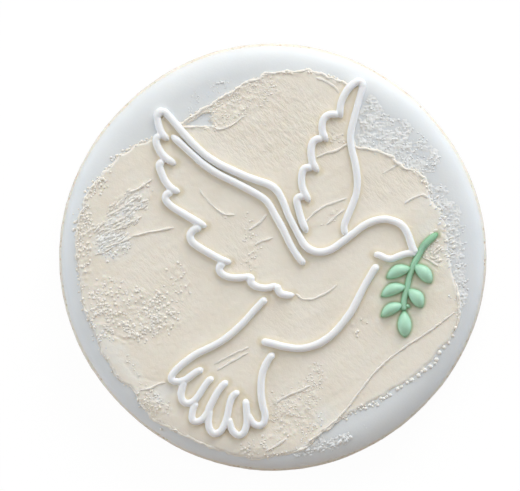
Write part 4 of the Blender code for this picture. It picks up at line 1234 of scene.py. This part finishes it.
stem = line_points(STEM_LINE[2:], STEM_WIDTH, STEM_HEIGHT, LINE_SINK, 211, 1.2 * MM, 0.6 * MM)
tip_route = [(30.6, 4.35), *STEM_LINE[1:5]]
stem_tip = line_points(tip_route, TIP_WIDTH, TIP_HEIGHT, LINE_SINK, 213, 1.7 * MM, 1.3 * MM)
leaves = {node: [leaf_points(*shape)] for node, shape in SPRIG_LEAVES.items()}
sprig = {"sprig_stem": [stem, stem_tip], **leaves}
for node, tubes in sprig.items():
    mesh = joined_tubes(node, tubes)
    mark_foot_shade(mesh)
    set_piece(f"piped_{node}", mesh, GREEN_ICING, [node])

# The cream beside the sprig is painted darker green-brown: partly green that ran into it, partly a painted
# shadow of the stem and leaves.
BLEED_AND_SHADE_REACH = 0.55 * MM
BLEED_AND_SHADE_AMOUNT = 0.6
near = nearest_on_route(place, smooth_route(STEM_LINE, 0.8 * MM))[0] - STEM_WIDTH / 2
for node in SPRIG_LEAVES:
    leaf = sprig[node][0][::3, :, :2]
    around = np.concatenate([leaf[:, 0], leaf[::-1, leaf.shape[1] // 2], leaf[:1, 0]])
    brought_near(near, place, around, MM)
write_mark(coat_mesh, "green_bleed_and_shade", BLEED_AND_SHADE_AMOUNT * smooth_step(-near, -BLEED_AND_SHADE_REACH, 0))

# Table, light and camera -----------------------------------------------------------------------
# A plain white table, one broad low light from the top of the picture, weak fills and a pale room.

TABLE_HALF = 0.6
CAMERA_HEIGHT = 3.0
LAMP_DISTANCE = 1.0
SKY_LIGHT = 0.482
VIEW_WIDTH = 97.3 * MM
VIEW_MIDDLE = (-2.395 * MM, 2.19 * MM)


def table_finish():
    """White table top that looks evenly lit to the eye and still catches light and shadow."""
    material, tree, shader = new_finish("white_table")
    drift = noise(tree, object_place(tree), 40.0, 2.0)
    colour = blended(tree, drift, (0.84, 0.84, 0.84, 1), (0.86, 0.86, 0.86, 1))
    fill(tree, shader, {"Base Color": colour, "Roughness": 0.9})
    glow = put(tree, "ShaderNodeEmission", {"Strength": 1.03})
    seen = put(tree, "ShaderNodeLightPath").outputs["Is Camera Ray"]
    share = worked_out(tree, "MULTIPLY", seen, 0.93)
    mix = put(tree, "ShaderNodeMixShader", {0: share, 1: shader.outputs[0], 2: glow.outputs[0]})
    tree.links.new(mix.outputs[0], tree.nodes["Material Output"].inputs["Surface"])
    return material


def soft_light(name, azimuth, elevation, size, power, colour):
    """A square lamp LAMP_DISTANCE away that faces the cookie from a direction given in degrees."""
    turn, lift = math.radians(azimuth), math.radians(elevation)
    lamp = bpy.data.lights.new(name, "AREA")
    lamp.size = size
    lamp.energy = power
    lamp.color = colour
    light = bpy.data.objects.new(name, lamp)
    bpy.context.scene.collection.objects.link(light)
    out = LAMP_DISTANCE * math.cos(lift)
    light.location = (out * math.cos(turn), out * math.sin(turn), LAMP_DISTANCE * math.sin(lift))
    light.rotation_euler = (math.pi / 2 - lift, 0, turn + math.pi / 2)
    light.visible_camera = False


corners = np.array([[-1, -1, 0], [1, -1, 0], [1, 1, 0], [-1, 1, 0]]) * TABLE_HALF
table = bpy.data.objects.new("table", make_mesh("table", corners, [[0, 1, 2, 3]]))
table.data.materials.append(table_finish())
bpy.context.scene.collection.objects.link(table)

soft_light("low_window", 72, 24, 0.65, 7.1, (0.99, 0.985, 1.0))
soft_light("left_fill", 168, 20, 0.5, 2.4, (0.68, 0.84, 1.0))
soft_light("right_fill", 2, 17, 0.5, 2.4, (0.55, 0.75, 1.0))
soft_light("near_fill", 206, 13, 0.5, 1.3, (0.90, 0.86, 1.0))
soft_light("warm_bounce", 294, 8, 0.4, 0.75, (1.0, 0.44, 0.05))
# Direction of the unlit side of the room.
DARK_SIDE = (0.373, -0.924, 0.087)


def room_world():
    """Plain surroundings: white to look at, and a weak warm light from all round, weaker from one side."""
    world = bpy.data.worlds.new("room")
    world.use_nodes = True
    tree = world.node_tree
    seen = put(tree, "ShaderNodeLightPath").outputs["Is Camera Ray"]
    toward = put(tree, "ShaderNodeTexCoord").outputs["Generated"]
    facing = put(tree, "ShaderNodeVectorMath", {0: toward, 1: DARK_SIDE}, operation="DOT_PRODUCT")
    lit = remapped(tree, facing.outputs["Value"], 0.88, 0.40, 0.0, SKY_LIGHT)
    strength = worked_out(tree, "MAXIMUM", seen, lit)
    colour = blended(tree, seen, (1.0, 0.965, 0.895, 1), (1, 1, 1, 1))
    fill(tree, tree.nodes["Background"], {"Color": colour, "Strength": strength})
    return world


bpy.context.scene.world = room_world()
bpy.context.scene.view_settings.view_transform = "Standard"

lens = bpy.data.cameras.new("camera")
lens.sensor_width = 36.0
lens.lens = 36.0 * (CAMERA_HEIGHT - BISCUIT_THICKNESS) / VIEW_WIDTH
lens.clip_end = 10.0
camera = bpy.data.objects.new("camera", lens)
camera.location = (*VIEW_MIDDLE, CAMERA_HEIGHT)
bpy.context.scene.collection.objects.link(camera)
bpy.context.scene.camera = camera
